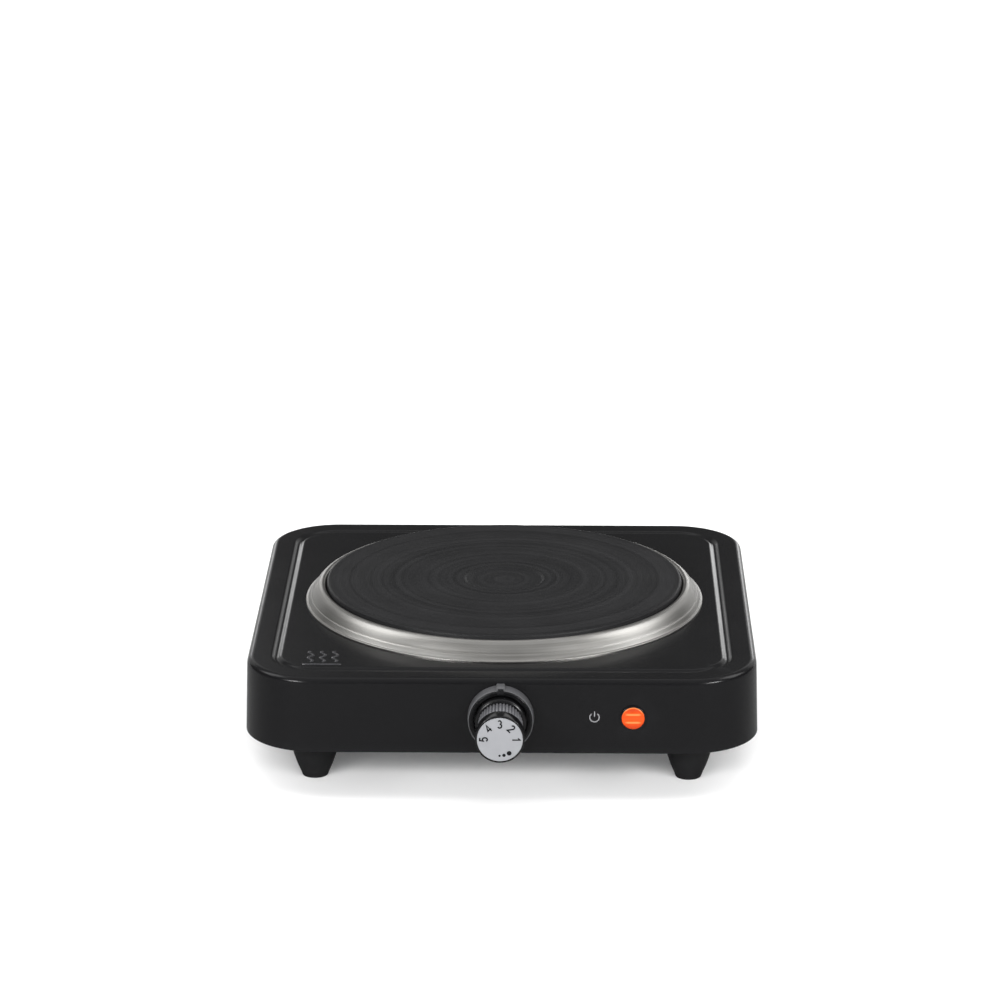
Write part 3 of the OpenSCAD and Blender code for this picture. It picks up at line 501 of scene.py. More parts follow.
# %% Dressing the solids that stay
slot_of = {row["node"]: row["material_slot"] for row in frame["record"]["subparts"]}
for node, solid in frame["nodes"].items():
    for k in range(max(1, len(solid.data.materials))):
        if len(solid.data.materials) <= k:
            solid.data.materials.append(None)
        solid.data.materials[k] = finishes[slot_of[node]]
print("dressed", len(slot_of), "solids in", len(set(slot_of.values())), "finishes")

# %% [markdown]
# ## The case
#
# The case is one sheet of steel, drawn in a die: a flat top, a soft edge, walls that lean in a
# little so that the pressing leaves the die, and a shallow channel that stiffens the top and
# catches spills. A box with bevels would have no channel and even walls, so the case is built as
# one stack of rounded squares. It runs up the wall, over the edge, through the channel and down
# into the opening, and back underneath at the sheet's thickness.

# %% Rounded squares and circles with matching points
CORNER_STEPS, SIDE_STEPS = 20, 16
QUARTER = math.pi / 2
INNER_SQUARE = half - 21.5

def square_ring(size):
    """Points of a rounded square whose corners share the case's corner centres."""
    radius = size - corner_c
    quarter = [Vector((size, -corner_c + 2 * corner_c * k / SIDE_STEPS)) for k in range(SIDE_STEPS)]
    for k in range(CORNER_STEPS):
        a = QUARTER * k / CORNER_STEPS
        quarter.append(Vector((corner_c + radius * math.cos(a), corner_c + radius * math.sin(a))))
    points = []
    for turn in range(4):
        spin = Matrix.Rotation(turn * QUARTER, 2)
        points += [spin @ p for p in quarter]
    return points

def round_ring(radius, share=1.0):
    """A circle with as many points as a rounded square, or a shape part way between the two."""
    return [p.normalized() * radius * share + p * (1 - share) for p in square_ring(INNER_SQUARE)]

print("points in a ring:", len(square_ring(half)))

# %% The soft edge and the channel
EDGE_R = 3.0
CHANNEL, CHANNEL_HALF, CHANNEL_DEEP = half - 15.2, 2.8, 1.15
OPENING_R = plate_r + 3.0
edge_z = case_top - EDGE_R
edge_half = half_at(edge_z)

def edge_level(radius, a):
    """A level of the soft edge, at an angle from the wall (0) up to the top (a quarter turn)."""
    return square_ring(edge_half - EDGE_R + radius * math.cos(a)), edge_z + radius * math.sin(a)

def dip(u):
    """How deep the channel is between its inner side (-1), its middle (0) and its outer side (1)."""
    return CHANNEL_DEEP * (0.5 + 0.5 * math.cos(math.pi * u))

print("channel", 2 * CHANNEL_HALF, "mm wide and", CHANNEL_DEEP, "mm deep")

# %% The levels of the case, from its lower edge up and over, then back underneath
def squares(pairs):
    """Levels that are rounded squares, from pairs of (half width, height)."""
    return [(square_ring(size), z) for size, z in pairs]

levels = squares([(half - SHEET, wall_low + 0.2), (half - 0.7, wall_low), (half - 0.2, wall_low),
                  (half, wall_low + 0.3)])
levels += squares([(half_at(z), z) for z in (wall_low + 4, case_mid.z, edge_z - 1.5)])
levels += [edge_level(EDGE_R, QUARTER * k / 10) for k in range(11)]
# a spare level on both sides of each bend keeps the flat parts shaded flat
levels += squares([(edge_half - EDGE_R - 0.4, case_top), (CHANNEL + CHANNEL_HALF + 0.3, case_top)])
inwards = [1 - k / 10 for k in range(21)]
levels += squares([(CHANNEL + CHANNEL_HALF * u, case_top - dip(u)) for u in inwards])
levels += squares([(CHANNEL - CHANNEL_HALF - 0.3, case_top), (INNER_SQUARE + 1, case_top)])
levels += [(round_ring(OPENING_R + 1.5, share), case_top) for share in (0.0, 0.5, 1.0)]
levels += [(round_ring(OPENING_R + wider), case_top - down)
           for wider, down in ((0.4, 0), (0.1, 0.1), (0, 0.4), (0, SHEET))]
levels += [(round_ring(OPENING_R + 2, share), case_top - SHEET) for share in (1.0, 0.5, 0.0)]
outwards, under_half = [-1 + k / 4 for k in range(9)], CHANNEL_HALF + 0.6
levels += squares([(CHANNEL + under_half * u, case_top - SHEET - dip(u)) for u in outwards])
levels += [edge_level(EDGE_R - SHEET, QUARTER * (1 - k / 5)) for k in range(6)]
print("case levels:", len(levels), "points each:", len(levels[0][0]))

# %% Stacking the levels
shell = bmesh.new()
close_up(shell, [[vertex(shell, Vector((p.x + case_mid.x, p.y + case_mid.y, z))) for p in points]
                 for points, z in levels])
case = finished("case_top", shell, "base", "case_enamel", ["top_housing"])

# %% [markdown]
# The knob, the lamp and the cord pass through the walls. Holes in a wall of rings would upset the
# rings, so they are drilled afterwards, as they are punched in the real sheet: a Boolean takes
# a round tool away from the case.

# %% Drilling the holes in the walls
def worked_out(thing):
    """The mesh that an object shows once its modifiers or curve settings have done their work."""
    bpy.context.view_layer.update()
    return bpy.data.meshes.new_from_object(thing.evaluated_get(bpy.context.evaluated_depsgraph_get()))

def bored(piece, cuts):
    """Drills round holes along Y; a cut is (a point on its axis, radius, start, end)."""
    tool = bmesh.new()
    for centre, radius, start, end in cuts:
        turned(tool, [(0, start), (radius, start), (radius, end), (0, end)], centre, "front", 64)
    bmesh.ops.recalc_face_normals(tool, faces=tool.faces)
    tool_mesh = bpy.data.meshes.new("drill")
    tool.to_mesh(tool_mesh)
    tool.free()
    drill = stand("drill", tool_mesh)
    cutter = piece.modifiers.new("holes", "BOOLEAN")
    cutter.object, cutter.operation, cutter.solver = drill, "DIFFERENCE", "EXACT"
    drilled = worked_out(piece)
    piece.modifiers.clear()
    whole, piece.data = piece.data, drilled
    bpy.data.meshes.remove(whole)
    bpy.data.objects.remove(drill)
    smooth(drilled, 32)

bored(case, [(knob_axis, 5.3, wall_y - 4, wall_y + 4), (lamp_axis, lens_r - 0.9, wall_y - 4, wall_y + 4),
             (gland_axis, 7.3, -wall_y - 4, -wall_y + 4)])
print("case_top", len(case.data.vertices), "points after drilling")

# %% [markdown]
# The case carries a small raised mark that warns of heat: three wavy lines over a bar. The press
# raises it from the sheet itself, so it has the same paint, drawn paler as a painted highlight on its
# raised lines. Each line is a thin round bead, sunk so that only its back shows.

# %% Raised heat mark
BEAD_FLAT = 0.68

def bead(bm, path, radius, sides=10):
    """A rounded bead along a path in the case top's plane, tapering at both ends."""
    rings = []
    last = len(path) - 1
    for i, p in enumerate(path):
        run = (path[min(i + 1, last)] - path[max(i - 1, 0)]).normalized()
        across = Vector((-run.y, run.x, 0))
        # the two steps nearest each end are rounded off
        reach = min(1.0, min(i, last - i) / 2)
        r = radius * math.sqrt(1 - (1 - reach) ** 2)
        if r < 1e-3:
            rings.append([vertex(bm, p)])
            continue
        ring = []
        for k in range(sides):
            a = 2 * math.pi * k / sides
            rise = Vector((0, 0, r * BEAD_FLAT * math.sin(a)))
            ring.append(vertex(bm, p + across * r * math.cos(a) + rise))
        rings.append(ring)
    for one, two in zip(rings, rings[1:]):
        stitch(bm, one, two)

mark_corner = Vector((-(half - 28), case_mid.y - (half - 21), case_top - 0.15))
mark = bmesh.new()
bead(mark, [mark_corner + Vector((t, 0.85, 0)) for t in range(21)], 0.85)
for k in range(3):
    wave = [(4 + 6 * k + 1.1 * math.sin(t * math.pi / 8), 4 + t / 2, 0) for t in range(33)]
    bead(mark, [mark_corner + Vector(step) for step in wave], 0.8)
finished("heat_mark", mark, "base", "case_enamel", finish="mark_painted_highlight")

# %% [markdown]
# ## Plate and ring
#
# The ring is spun from stainless sheet: a lip that lies on the case, a low step, then a rounded
# wall up to a crown, which turns back down to hold the plate. The plate is cast iron, faced on a
# lathe, with a shallow dish in its middle that keeps the centre cooler. Both are turned here too,
# because an outline spun round an axis gives what a lathe gives.

# %% Steel ring
# o is the ring's outer radius, p the plate's radius and h the ring's height above the case
o, p, h = ring_r, plate_r, ring_high - case_top
ring_outside = [(o, 0, 0), (o, 0.7, 0.25), (o - 0.5, 0.98, 0.3), (o - 1.1, 1.15, 0.4), (o - 2.4, 3.15, 0.3),
                (o - 2.8, 3.4, 0.3), (o - 4.1, 5.35, 1.8), (o - 5.5, 7.15, 1.8), (o - 7.0, 8.5, 1.2),
                (p + 2.2, h, 1.0), (p + 1.1, h - 0.25, 0.5), (p + 0.5, h - 1.0, 0.5), (p + 0.5, 1.6, 0)]
ring_inside = [(p - 3, 1.6, 0), (p - 3, 0.8, 0), (p + 1.3, 0.8, 0), (p + 1.3, h - 1.3, 0),
               (p + 1.7, h - 0.9, 0), (o - 7.4, 7.8, 0), (o - 5.9, 6.7, 0), (o - 4.6, 5.0, 0),
               (o - 3.6, 2.6, 0), (o - 3.1, 2.3, 0), (o - 1.9, 0.4, 0), (o - 1.7, 0, 0)]
ring_bm = bmesh.new()
turned(ring_bm, softened(ring_outside + ring_inside), Vector((0, case_mid.y, case_top)), "up", 256)
finished("steel_ring", ring_bm, "base", "ring_steel", ["trim_ring"], crease=40)

# %% Iron plate with its turned face
plate_low, plate_high = box("hot_plate")
top = plate_high.z - plate_low.z
seat = case_top + 1.6 - plate_low.z
face = [(0, top - 0.8), (18.6, top - 0.8), (19.2, top - 0.7), (20.2, top - 0.06), (20.8, top)]
r = 21.4
while r < p - 2.2:
    # one shallow V for each pass of the facing tool
    face += [(r, top - 0.005), (r + 0.45, top - 0.07)]
    r += 0.9
face += [(p - 1.5, top), (p - 0.8, top - 0.12), (p - 0.3, top - 0.45), (p, top - 1.2), (p, seat)]
under = [(p - 3.5, seat), (p - 3.5, 0.6), (p - 4.1, 0)]
for share in (0.8, 0.62, 0.44):
    # a shallow groove in the underside marks where each heating coil is cemented in
    c = p * share
    under += [(c + 4, 0), (c + 4, 0.5), (c - 4, 0.5), (c - 4, 0)]
under += [(c - 14, 0), (c - 16, 3), (12, 3), (11, 0), (3.1, 0), (3.1, 6), (0, 6)]
plate_bm = bmesh.new()
turned(plate_bm, face + under, Vector((0, case_mid.y, plate_low.z)), "up", 192)
finished("iron_plate", plate_bm, "base", "plate_iron", ["hot_plate"], crease=30)

# %% [markdown]
# ## Feet and bottom cover
#
# Each foot is a moulded rubber cone with a small flat end, screwed through the cover. The cover is
# a flat zinc-plated sheet with two banks of cooling slots. A flat curve with holes in it makes
# such a sheet directly, with its edges rounded by the curve's own bevel.

# %% Rubber feet
FOOT_SIDE = [(4.3, 0, 0.3), (6.2, 0, 0.4), (7.1, 2.4, 0.8), (8.8, 6.4, 1.5), (10.6, 11.8, 1.5),
             (11.4, 16.0, 1.5)]
for foot in ("foot_fl", "foot_fr", "foot_rl", "foot_rr"):
    low, high = box(foot)
    wide, tall = half_width(foot), high.z - low.z
    head = [(wide, tall - 2, 0.6), (wide, tall, 0.4), (2.3, tall, 0), (2.3, 15.5, 0), (4.3, 15.5, 0.2)]
    foot_bm = bmesh.new()
    turned(foot_bm, softened(FOOT_SIDE + head), Vector((middle(foot).x, middle(foot).y, low.z)), "up", 72)
    finished("rubber_" + foot, foot_bm, "base", "rubber_black", [foot])

# %% Outlines for a flat sheet
def loop(curve, points):
    """Adds a closed line through points in millimetres; a line inside another one cuts a hole."""
    line = curve.splines.new("POLY")
    line.points.add(len(points) - 1)
    for spot, (x, y) in zip(line.points, points):
        spot.co = (x * MM, y * MM, 0, 1)
    line.use_cyclic_u = True

def circle(x, y, radius, count):
    """Points round a circle."""
    angles = [2 * math.pi * k / count for k in range(count)]
    return [(x + radius * math.cos(a), y + radius * math.sin(a)) for a in angles]

def slot_points(x, y, long, wide):
    """Points round a slot with round ends."""
    points = []
    for side in (1, -1):
        end_x = x + side * (long - wide) / 2
        for k in range(9):
            a = math.pi * (k / 8 - 0.5) + (0 if side > 0 else math.pi)
            points.append((end_x + wide / 2 * math.cos(a), y + wide / 2 * math.sin(a)))
    return points

print("a slot has", len(slot_points(0, 0, 40, 4)), "points")

# %% The cover's sheet with its slots and screw holes
LIP = 0.2
SCREW_R, SMALL_SCREW_R = 2.3, 1.7
cover_low, cover_high = box("bottom_cover")
sheet = bpy.data.curves.new("cover_outline", "CURVE")
sheet.dimensions, sheet.fill_mode = "2D", "BOTH"
sheet.extrude = ((cover_high.z - cover_low.z) / 2 - LIP) * MM
sheet.bevel_depth, sheet.bevel_resolution, sheet.offset = LIP * MM, 1, -LIP * MM
loop(sheet, square_ring(half_width("bottom_cover")))
for row in range(-2, 3):
    for side in (-1, 1):
        loop(sheet, slot_points(side * 34, row * 14, 40, 4))
clamp_y = half - 24
foot_c = middle("foot_fr").x
screws = [(sx * foot_c, sy * foot_c, SCREW_R) for sx in (-1, 1) for sy in (-1, 1)]
screws += [(gland_axis.x + sx * 9, clamp_y, SMALL_SCREW_R) for sx in (-1, 1)]
screws += [(sx * 24, clamp_y, SMALL_SCREW_R) for sx in (-1, 1)] + [(-48, clamp_y, SCREW_R)]
for x, y, radius in screws:
    loop(sheet, circle(x, y, radius, 24))
print("cover outlines:", len(sheet.splines))

# %% Bottom cover
holder = stand("cover_outline", sheet)
cover_bm = bmesh.new()
cover_bm.from_mesh(worked_out(holder))
bpy.data.objects.remove(holder)
cover_mid = Vector((0, case_mid.y, (cover_low.z + cover_high.z) / 2))
bmesh.ops.translate(cover_bm, verts=cover_bm.verts, vec=cover_mid * MM)
cover = finished("cover_plate", cover_bm, "base", "cover_zinc", ["bottom_cover"], crease=25)
# a flat sheet shades best flat
cover.data.shade_flat()

# %% [markdown]
# ## Knob
#
# The knob turns in a fixed black collar, which has a small bump at the top to point at the dial.
# The knob itself is four mouldings: a dark skirt, a grey grip with ribs, a smooth black rim, and
# a silver disc with the heat settings printed on it. The collar stays with the case and the four
# mouldings ride on the knob, so the knob turns and the pointer doesn't. The collar is two pieces
# because its outer band is satin and the rest is glossy.

# %% A bump for the pointer
pointer_top = box("knob_collar")[1].z - knob_axis.z

def nub(bm, wide, low, high, back, front, soft):
    """A small rounded block on the collar: wide in X, low to high in Z, back to front in Y."""
    geo = bmesh.ops.create_cube(bm, size=1.0)
    for v in geo["verts"]:
        # the block narrows towards its top
        narrow = 0.82 if v.co.z > 0 else 1.0
        across = knob_axis.x + v.co.x * wide * narrow
        along = knob_axis.y - back - (front - back) * (0.5 - v.co.y)
        v.co = Vector((across, along, knob_axis.z + low + (high - low) * (v.co.z + 0.5))) * MM
    edges = list({e for v in geo["verts"] for e in v.link_edges})
    bmesh.ops.bevel(bm, geom=edges, offset=soft * MM, segments=3, profile=0.6, affect="EDGES")

print("the pointer ends", round(pointer_top, 2), "mm above the knob's axis")

# %% Collar and its satin band
o, collar_out = half_width("knob_collar"), ahead("knob_collar", 1)
collar_outline = [(o - 0.8, wall_y - 0.2, 0), (o - 0.8, collar_out - 0.5, 0.2), (o - 1.2, collar_out, 0.2),
                  (12.9, collar_out - 0.4, 0.3), (12.9, wall_y + 1.5, 0), (5.4, wall_y + 1.5, 0),
                  (5.4, wall_y + 0.6, 0), (13, wall_y - 0.2, 0)]
collar = bmesh.new()
turned(collar, softened(collar_outline), knob_axis, "front", 128)
nub(collar, 3.3, 13.4, pointer_top - 0.9, wall_y + 0.4, collar_out, 0.4)
finished("knob_bezel", collar, "base", "knob_black", ["knob_collar"], crease=38)
band_outline = [(o, wall_y - 0.35, 0), (o, wall_y + 1.0, 0.3), (o - 0.35, collar_out - 0.45, 0.25),
                (o - 0.78, collar_out - 0.4, 0.1), (o - 0.78, wall_y - 0.2, 0)]
band = bmesh.new()
turned(band, softened(band_outline), knob_axis, "front", 128)
nub(band, 4.8, 15.4, pointer_top, wall_y + 0.4, collar_out - 0.4, 0.5)
finished("knob_bezel_band", band, "base", "knob_black", crease=38, finish="collar_satin")

# %% Skirt and hub
skirt_out = ahead("knob_grip", 0)
core_in, core_out = ahead("knob_core", 0), ahead("knob_core", 1) - 0.1
HUB_IN, HUB_OUT = 3.05, 5.2
core_outline = [(HUB_IN, core_in + 1.2, 0), (HUB_OUT, core_in + 1.2, 0), (HUB_OUT, skirt_out - 1.6, 0),
                (10.8, skirt_out - 1.6, 0), (10.8, core_in, 0), (12.3, core_in, 0.3),
                (12.3, skirt_out - 0.6, 0.5), (11.4, skirt_out, 0.3), (9.15, skirt_out, 0),
                (9.15, core_out, 0), (HUB_IN, core_out, 0)]
core = bmesh.new()
turned(core, softened(core_outline), knob_axis, "front", 96)
finished("knob_skirt", core, "knob", "knob_black", ["knob_core"])

# %% Ribbed grip
RIBS, PER_RIB, RIB_DEEP = 40, 8, 0.65
GRIP_BORE, GRIP_EDGE = 9.2, 0.35
grip_in, grip_out, grip_r = ahead("knob_grip", 0), ahead("knob_grip", 1), half_width("knob_grip")
grip = bmesh.new()

def grip_ring(out, shrink=None):
    """A ring of points round the knob's axis: on the ribs, drawn in by shrink, or else on the bore."""
    ring = []
    for k in range(RIBS * PER_RIB):
        a = 2 * math.pi * k / (RIBS * PER_RIB)
        # the power makes the crests broad and the valleys narrow
        valley = (0.5 - 0.5 * math.cos(a * RIBS)) ** 1.6
        r = GRIP_BORE if shrink is None else grip_r - shrink - RIB_DEEP * valley
        ring.append(vertex(grip, knob_axis + Vector((r * math.cos(a), -out, r * math.sin(a)))))
    return ring

close_up(grip, [grip_ring(grip_in), grip_ring(grip_in, GRIP_EDGE), grip_ring(grip_in + GRIP_EDGE, 0.0),
                grip_ring(grip_out - GRIP_EDGE, 0.0), grip_ring(grip_out, GRIP_EDGE), grip_ring(grip_out)])
finished("grip_sleeve", grip, "knob", "knob_grey", ["knob_grip"], crease=50)

# %% Smooth rim and dial
rim_in, rim_out = ahead("knob_rim", 0), ahead("knob_dial", 1)
rim_r, dial_r = half_width("knob_rim"), half_width("knob_dial")
rim_outline = [(0, rim_out - 2.6, 0), (0, rim_out - 1.2, 0), (dial_r + 0.02, rim_out - 1.2, 0),
               (dial_r + 0.02, rim_out - 0.12, 0.08), (rim_r, rim_out - 0.12, 0.5), (rim_r, rim_in, 0.5),
               (9.3, rim_in, 0), (9.3, rim_out - 2.6, 0)]
rim = bmesh.new()
turned(rim, softened(rim_outline), knob_axis, "front", 128)
finished("rim_ring", rim, "knob", "knob_black", ["knob_rim"], finish="knob_gloss")
DIAL_OUT = rim_out - 0.06
dial_outline = [(0, rim_out - 1.15, 0), (dial_r - 0.05, rim_out - 1.15, 0),
                (dial_r - 0.05, DIAL_OUT, 0.12), (0, DIAL_OUT, 0)]
dial = bmesh.new()
turned(dial, softened(dial_outline), knob_axis, "front", 128)
finished("dial_disc", dial, "knob", "dial_silver", ["knob_dial"])

# %% [markdown]
# The dial is printed with the numbers 1 to 5, their heads towards the rim, and three dots that
# shrink towards the off position. Ink has no real thickness, so each mark is a film just proud of
# the disc. The numbers are drawn like plain pen strokes: each is one or two paths, and the film is
# the strip that a pen of one width leaves along them.

# %% Pen paths for the numbers
def arc(x, y, rx, ry, start, end, count=10):
    """Points along part of an ellipse, between two angles in degrees."""
    angles = [math.radians(start + (end - start) * k / count) for k in range(count + 1)]
    return [(x + rx * math.cos(a), y + ry * math.sin(a)) for a in angles]

# each number stands on a field 0.6 wide and 1 high
pen_paths = {"1": [[(0.1, 0.76), (0.34, 1.0), (0.34, 0.0)]],
             "2": [arc(0.3, 0.74, 0.23, 0.26, 170, -30) + [(0.05, 0.0), (0.56, 0.0)]],
             "3": [arc(0.28, 0.76, 0.2, 0.24, 150, -90), arc(0.28, 0.27, 0.25, 0.27, 90, -155)],
             "4": [[(0.43, 0.0), (0.43, 1.0), (0.03, 0.3), (0.58, 0.3)]],
             "5": [[(0.5, 1.0), (0.12, 1.0), (0.07, 0.55)] + arc(0.28, 0.32, 0.25, 0.32, 110, -150)]}
TALL, PEN = 3.65, 0.35

def pen_edges(path):
    """The two edges of a pen's line along a path, as pairs of points."""
    pairs = []
    for i, q in enumerate(path):
        before = (q - path[i - 1]).normalized() if i else (path[1] - q).normalized()
        after = (path[i + 1] - q).normalized() if i + 1 < len(path) else before
        across = Vector((-(before + after).y, (before + after).x)).normalized()
        # at a corner the edges meet further out than half a pen, but not without end
        reach = PEN / max(0.45, across.dot(Vector((-after.y, after.x))))
        pairs.append([q + side * reach * across for side in (1, -1)])
    return pairs

print("numbers:", len(pen_paths), "each", TALL, "mm tall")

# %% Numbers and dots on the dial
INK = 0.03

def face_spot(radius, degrees):
    """A point in the film of ink on the dial."""
    a = math.radians(degrees)
    return knob_axis + Vector((radius * math.cos(a), -DIAL_OUT - INK, radius * math.sin(a)))

ink = bmesh.new()
for digit, degrees in (("1", 0), ("2", 45), ("3", 90), ("4", 135), ("5", 179)):
    spin = Matrix.Rotation(-math.radians(degrees - 90), 3, "Y")
    middle_here = face_spot(7.7, degrees)
    for path in pen_paths[digit]:
        edges = pen_edges([Vector(((x - 0.3) * TALL, (y - 0.5) * TALL)) for x, y in path])
        pairs = [[vertex(ink, middle_here + spin @ Vector((q.x, 0, q.y))) for q in pair] for pair in edges]
        for one, two in zip(pairs, pairs[1:]):
            ink.faces.new((one[0], two[0], two[1], one[1]))
for radius, degrees in ((1.15, -57), (0.82, -76), (0.55, -91)):
    centre = face_spot(8.1, degrees)
    ink.faces.new([vertex(ink, centre + Vector((x, 0, z))) for x, z in circle(0, 0, radius, 32)])
finished("dial_print", ink, "knob", "dial_silver", finish="print_dark")

# %% [markdown]
# ## Lamp and front print
#
# The lens is a small orange button in a thin dark rim. Its face is moulded in ribs that run from
# side to side and spread the light. The button is turned first, and then the points of its face
# are moved out along the crests of the ribs, which keeps the face one smooth skin. The case beside
# it has a printed sign for power, a broken circle with a bar.

# %% Ribbed lens
lens_in, lens_out = ahead("lamp_lens", 0), ahead("lamp_lens", 1)
FACE_R, NECK_R, DOME_STEPS = lens_r - 0.6, lens_r - 1.05, 24
RIB_HIGH, RIB_END = 0.24, 0.98
dome = []
for k in range(DOME_STEPS - 1, -1, -1):
    share = k / DOME_STEPS
    dome.append((FACE_R * share, lens_out - 0.8 + 0.55 * math.sqrt(1 - share ** 2), 0))
stem = [(0, lens_in, 0), (NECK_R, lens_in, 0), (NECK_R, wall_y - 0.5, 0), (FACE_R, wall_y - 0.5, 0),
        (FACE_R, lens_out - 0.8, 0)]
lens = bmesh.new()
turned(lens, softened(stem + dome), lamp_axis, "front", 128)
for v in lens.verts:
    spot = v.co / MM
    rise = spot.z - lamp_axis.z
    reach = math.hypot(spot.x - lamp_axis.x, rise) / FACE_R
    if case_mid.y - spot.y > lens_out - 0.85 and reach < RIB_END:
        crest = (0.5 + 0.5 * math.cos(2 * math.pi * (rise - RIB_FIRST) / RIB_PITCH)) ** 3
        v.co.y -= RIB_HIGH * crest * min(1.0, (RIB_END - reach) / 0.25) * MM
finished("lens_button", lens, "base", "lens_orange", ["lamp_lens"], crease=60)

# %% Rim of the lens
rim_bore = FACE_R + 0.02
lens_rim_outline = [(rim_bore, wall_y - 0.4, 0), (lens_r, wall_y - 0.4, 0), (lens_r, lens_out - 0.7, 0.25),
                    (rim_bore, lens_out - 0.6, 0.1)]
lens_rim = bmesh.new()
turned(lens_rim, softened(lens_rim_outline), lamp_axis, "front", 96)
finished("lens_rim", lens_rim, "base", "lens_orange", finish="knob_black")

# %% Power sign
sign_mid = Vector((lamp_axis.x - 18.5, 0, lamp_axis.z))

def wall_spot(x, z):
    """A point just proud of the leaning front wall."""
    return sign_mid + Vector((x, case_mid.y - half_at(sign_mid.z + z) - INK, z))

def strip(bm, inner, outer):
    """Fills the strip between two lines of points on the wall."""
    a = [vertex(bm, wall_spot(*q)) for q in inner]
    b = [vertex(bm, wall_spot(*q)) for q in outer]
    for k in range(len(a) - 1):
        bm.faces.new((a[k], a[k + 1], b[k + 1], b[k]))

# half the gap at the top of the circle, in degrees
GAP_HALF = 38
sign = bmesh.new()
strip(sign, *(arc(0, 0, r, r, 90 + GAP_HALF, 450 - GAP_HALF, 40) for r in (2.0, 2.5)))
strip(sign, *([(x, 0.4), (x, 3.0)] for x in (-0.25, 0.25)))
finished("power_sign", sign, "base", "case_enamel", finish="print_pale")

# %% [markdown]
# ## Cord inlet
#
# The cord would leave through a rubber bushing in the back wall. It is turned like the feet, with
# a flange against the wall, a groove that holds the sheet, and a short ribbed snout that keeps
# the cord from kinking.

# %% Bushing
# b is the radius of the bore that the cord would pass through
b = 3.7
gland_in, gland_out = -ahead("cord_gland", 1), -ahead("cord_gland", 0)
snout = [(b, gland_in, 0.2), (b + 4.6, gland_in, 0.4), (b + 4.6, wall_y - 3, 0), (b + 3.5, wall_y - 3, 0),
         (b + 3.5, wall_y + 0.05, 0), (b + 5.3, wall_y + 0.3, 0), (b + 5.3, wall_y + 2.6, 0.8),
         (b + 4.0, wall_y + 3.8, 0.6)]
for k in range(4):
    y = wall_y + 4.4 + 1.9 * k
    fat = b + 2.75 - 0.3 * k
    snout += [(fat - 0.55, y, 0.2), (fat, y + 0.5, 0.25), (fat, y + 1.2, 0.25)]
snout += [(b + 1.2, gland_out - 0.4, 0.3), (b + 1.0, gland_out, 0.3), (b, gland_out, 0.3)]
gland = bmesh.new()
turned(gland, softened(snout), gland_axis, "back", 72)
finished("cord_bushing", gland, "base", "rubber_black", ["cord_gland"])

# %% [markdown]
# ## Studio
#
# The burner stands on a pale floor that runs far past the view. Glossy black shows little but
# what it mirrors, so the studio is arranged by what each light draws on it: soft keys for the
# steel ring, wings and strips behind for the lines along the channel, and glints for the round
# corners in front. The floor near the burner is darkened in mirrored light only, which keeps the
# top black in the view from the front. Fill lights lighten the shadows and draw nothing.

# %% Floor
floor_mesh = bpy.data.meshes.new("floor")
floor_mesh.from_pydata([(-9, -9, 0), (9, -9, 0), (9, 12, 0), (-9, 12, 0)], [], [(0, 1, 2, 3)])
floor = stand("floor", floor_mesh)
floor_tree, floor_shader = plain_finish("floor_white", srgb(247, 247, 247), 0.7, patch=0.004, grain=0.0,
                                        patch_mm=400.0, specular=0.1)
near = ranged(floor_tree, axes(floor_tree)["Y"], 0.3, 1.2, 0.78, 0.0)
mirrored = add(floor_tree, "ShaderNodeLightPath").outputs["Is Glossy Ray"]
dim = sums(floor_tree, "MULTIPLY", mirrored, near)
floor_colour = floor_shader.inputs["Base Color"].links[0].from_socket
darkened = blend(floor_tree, dim, floor_colour, (0.0, 0.0, 0.0, 1.0))
feed(floor_tree, darkened, floor_shader.inputs["Base Color"])
floor_mesh.materials.append(finishes["floor_white"])
print("floor:", floor.name)

# %% Lights
def softbox(name, spot, size, watts, target=(0, 0, 0.05), shines=True):
    """A soft rectangular light aimed at a point; one that doesn't shine leaves no highlight."""
    lamp = bpy.data.lights.new(name, "AREA")
    lamp.shape, lamp.size, lamp.size_y, lamp.energy = "RECTANGLE", size[0], size[1], watts
    carrier = stand(name, lamp)
    carrier.location = spot
    carrier.rotation_euler = (Vector(target) - Vector(spot)).to_track_quat("-Z", "Y").to_euler()
    carrier.visible_glossy = shines

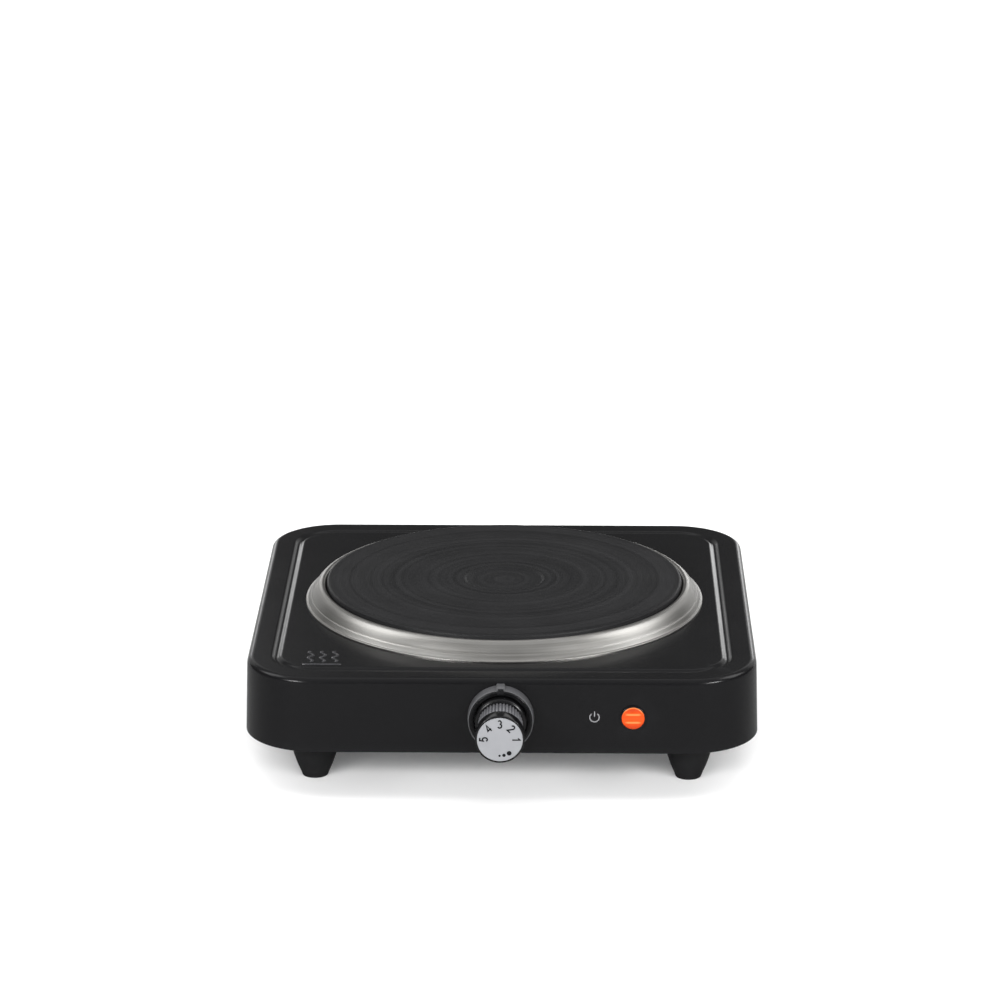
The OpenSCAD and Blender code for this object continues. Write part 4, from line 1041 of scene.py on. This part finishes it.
softbox("key_left", (-1.75, 0.3, 1.8), (1.2, 1.2), 13)
softbox("key_right", (1.8, 0.3, 1.7), (1.2, 1.2), 15)
softbox("wing_left", (-1.15, 2.3, 0.75), (1.7, 1.4), 3.2)
softbox("wing_right", (1.15, 2.3, 0.75), (1.7, 1.4), 4.2)
softbox("rim_strip_left", (-0.72, 2.2, 0.4), (0.35, 0.45), 0.9)
softbox("rim_strip_right", (0.72, 2.2, 0.4), (0.35, 0.45), 1.2)
softbox("strip_over", (0.0, 0.9, 2.3), (2.4, 0.3), 2.4)
softbox("glint_left", (-1.5, -1.9, 1.05), (0.8, 0.35), 27)
softbox("glint_right", (1.75, -1.7, 1.0), (0.8, 0.35), 27)
softbox("fill_over", (0.0, 0.2, 2.4), (2.6, 1.8), 30, target=(0, 0.2, 0), shines=False)
softbox("fill_front", (0.0, -2.4, 0.95), (3.8, 1.1), 95, target=(0, 0, 0), shines=False)
softbox("fill_back", (0.0, 3.2, 2.2), (3.0, 1.6), 40, target=(0, 1.8, 0), shines=False)
print("lights:", len(bpy.data.lights))

# %% Sky, dim at the sides and brighter overhead
world = bpy.data.worlds.new("studio")
bpy.context.scene.world = world
world.use_nodes = True
bpy.context.scene.view_settings.view_transform = "Standard"
sky = world.node_tree
sky.nodes.clear()
toward = add(sky, "ShaderNodeTexCoord").outputs["Generated"]
up = add(sky, "ShaderNodeSeparateXYZ", {0: toward}).outputs["Z"]
# looked at directly, the backdrop is as pale as the floor
seen = add(sky, "ShaderNodeLightPath").outputs["Is Camera Ray"]
strength = sums(sky, "MAXIMUM", ranged(sky, up, 0.5, 0.95, 0.08, 0.55), sums(sky, "MULTIPLY", seen, 0.9))
lit = add(sky, "ShaderNodeBackground", {"Strength": strength, "Color": (1, 1, 1, 1)})
feed(sky, lit.outputs[0], sky.nodes.new("ShaderNodeOutputWorld").inputs["Surface"])
print("sky:", world.name)

# %% Camera
PITCH, YAW = math.radians(17.195), math.radians(0.826)
camera = bpy.data.cameras.new("camera")
camera.lens, camera.sensor_width = 143.8, 36.0
camera.clip_start, camera.clip_end = 0.1, 60.0
eye = stand("camera", camera)
eye.location = Vector((25.6, case_mid.y - 1925.2, wall_low + 684.6)) * MM
eye.rotation_euler = (QUARTER - PITCH, 0, YAW)
bpy.context.scene.camera = eye
print("camera", [round(c, 4) for c in eye.location])

# %% Bringing the scene up to date
bpy.context.view_layer.update()
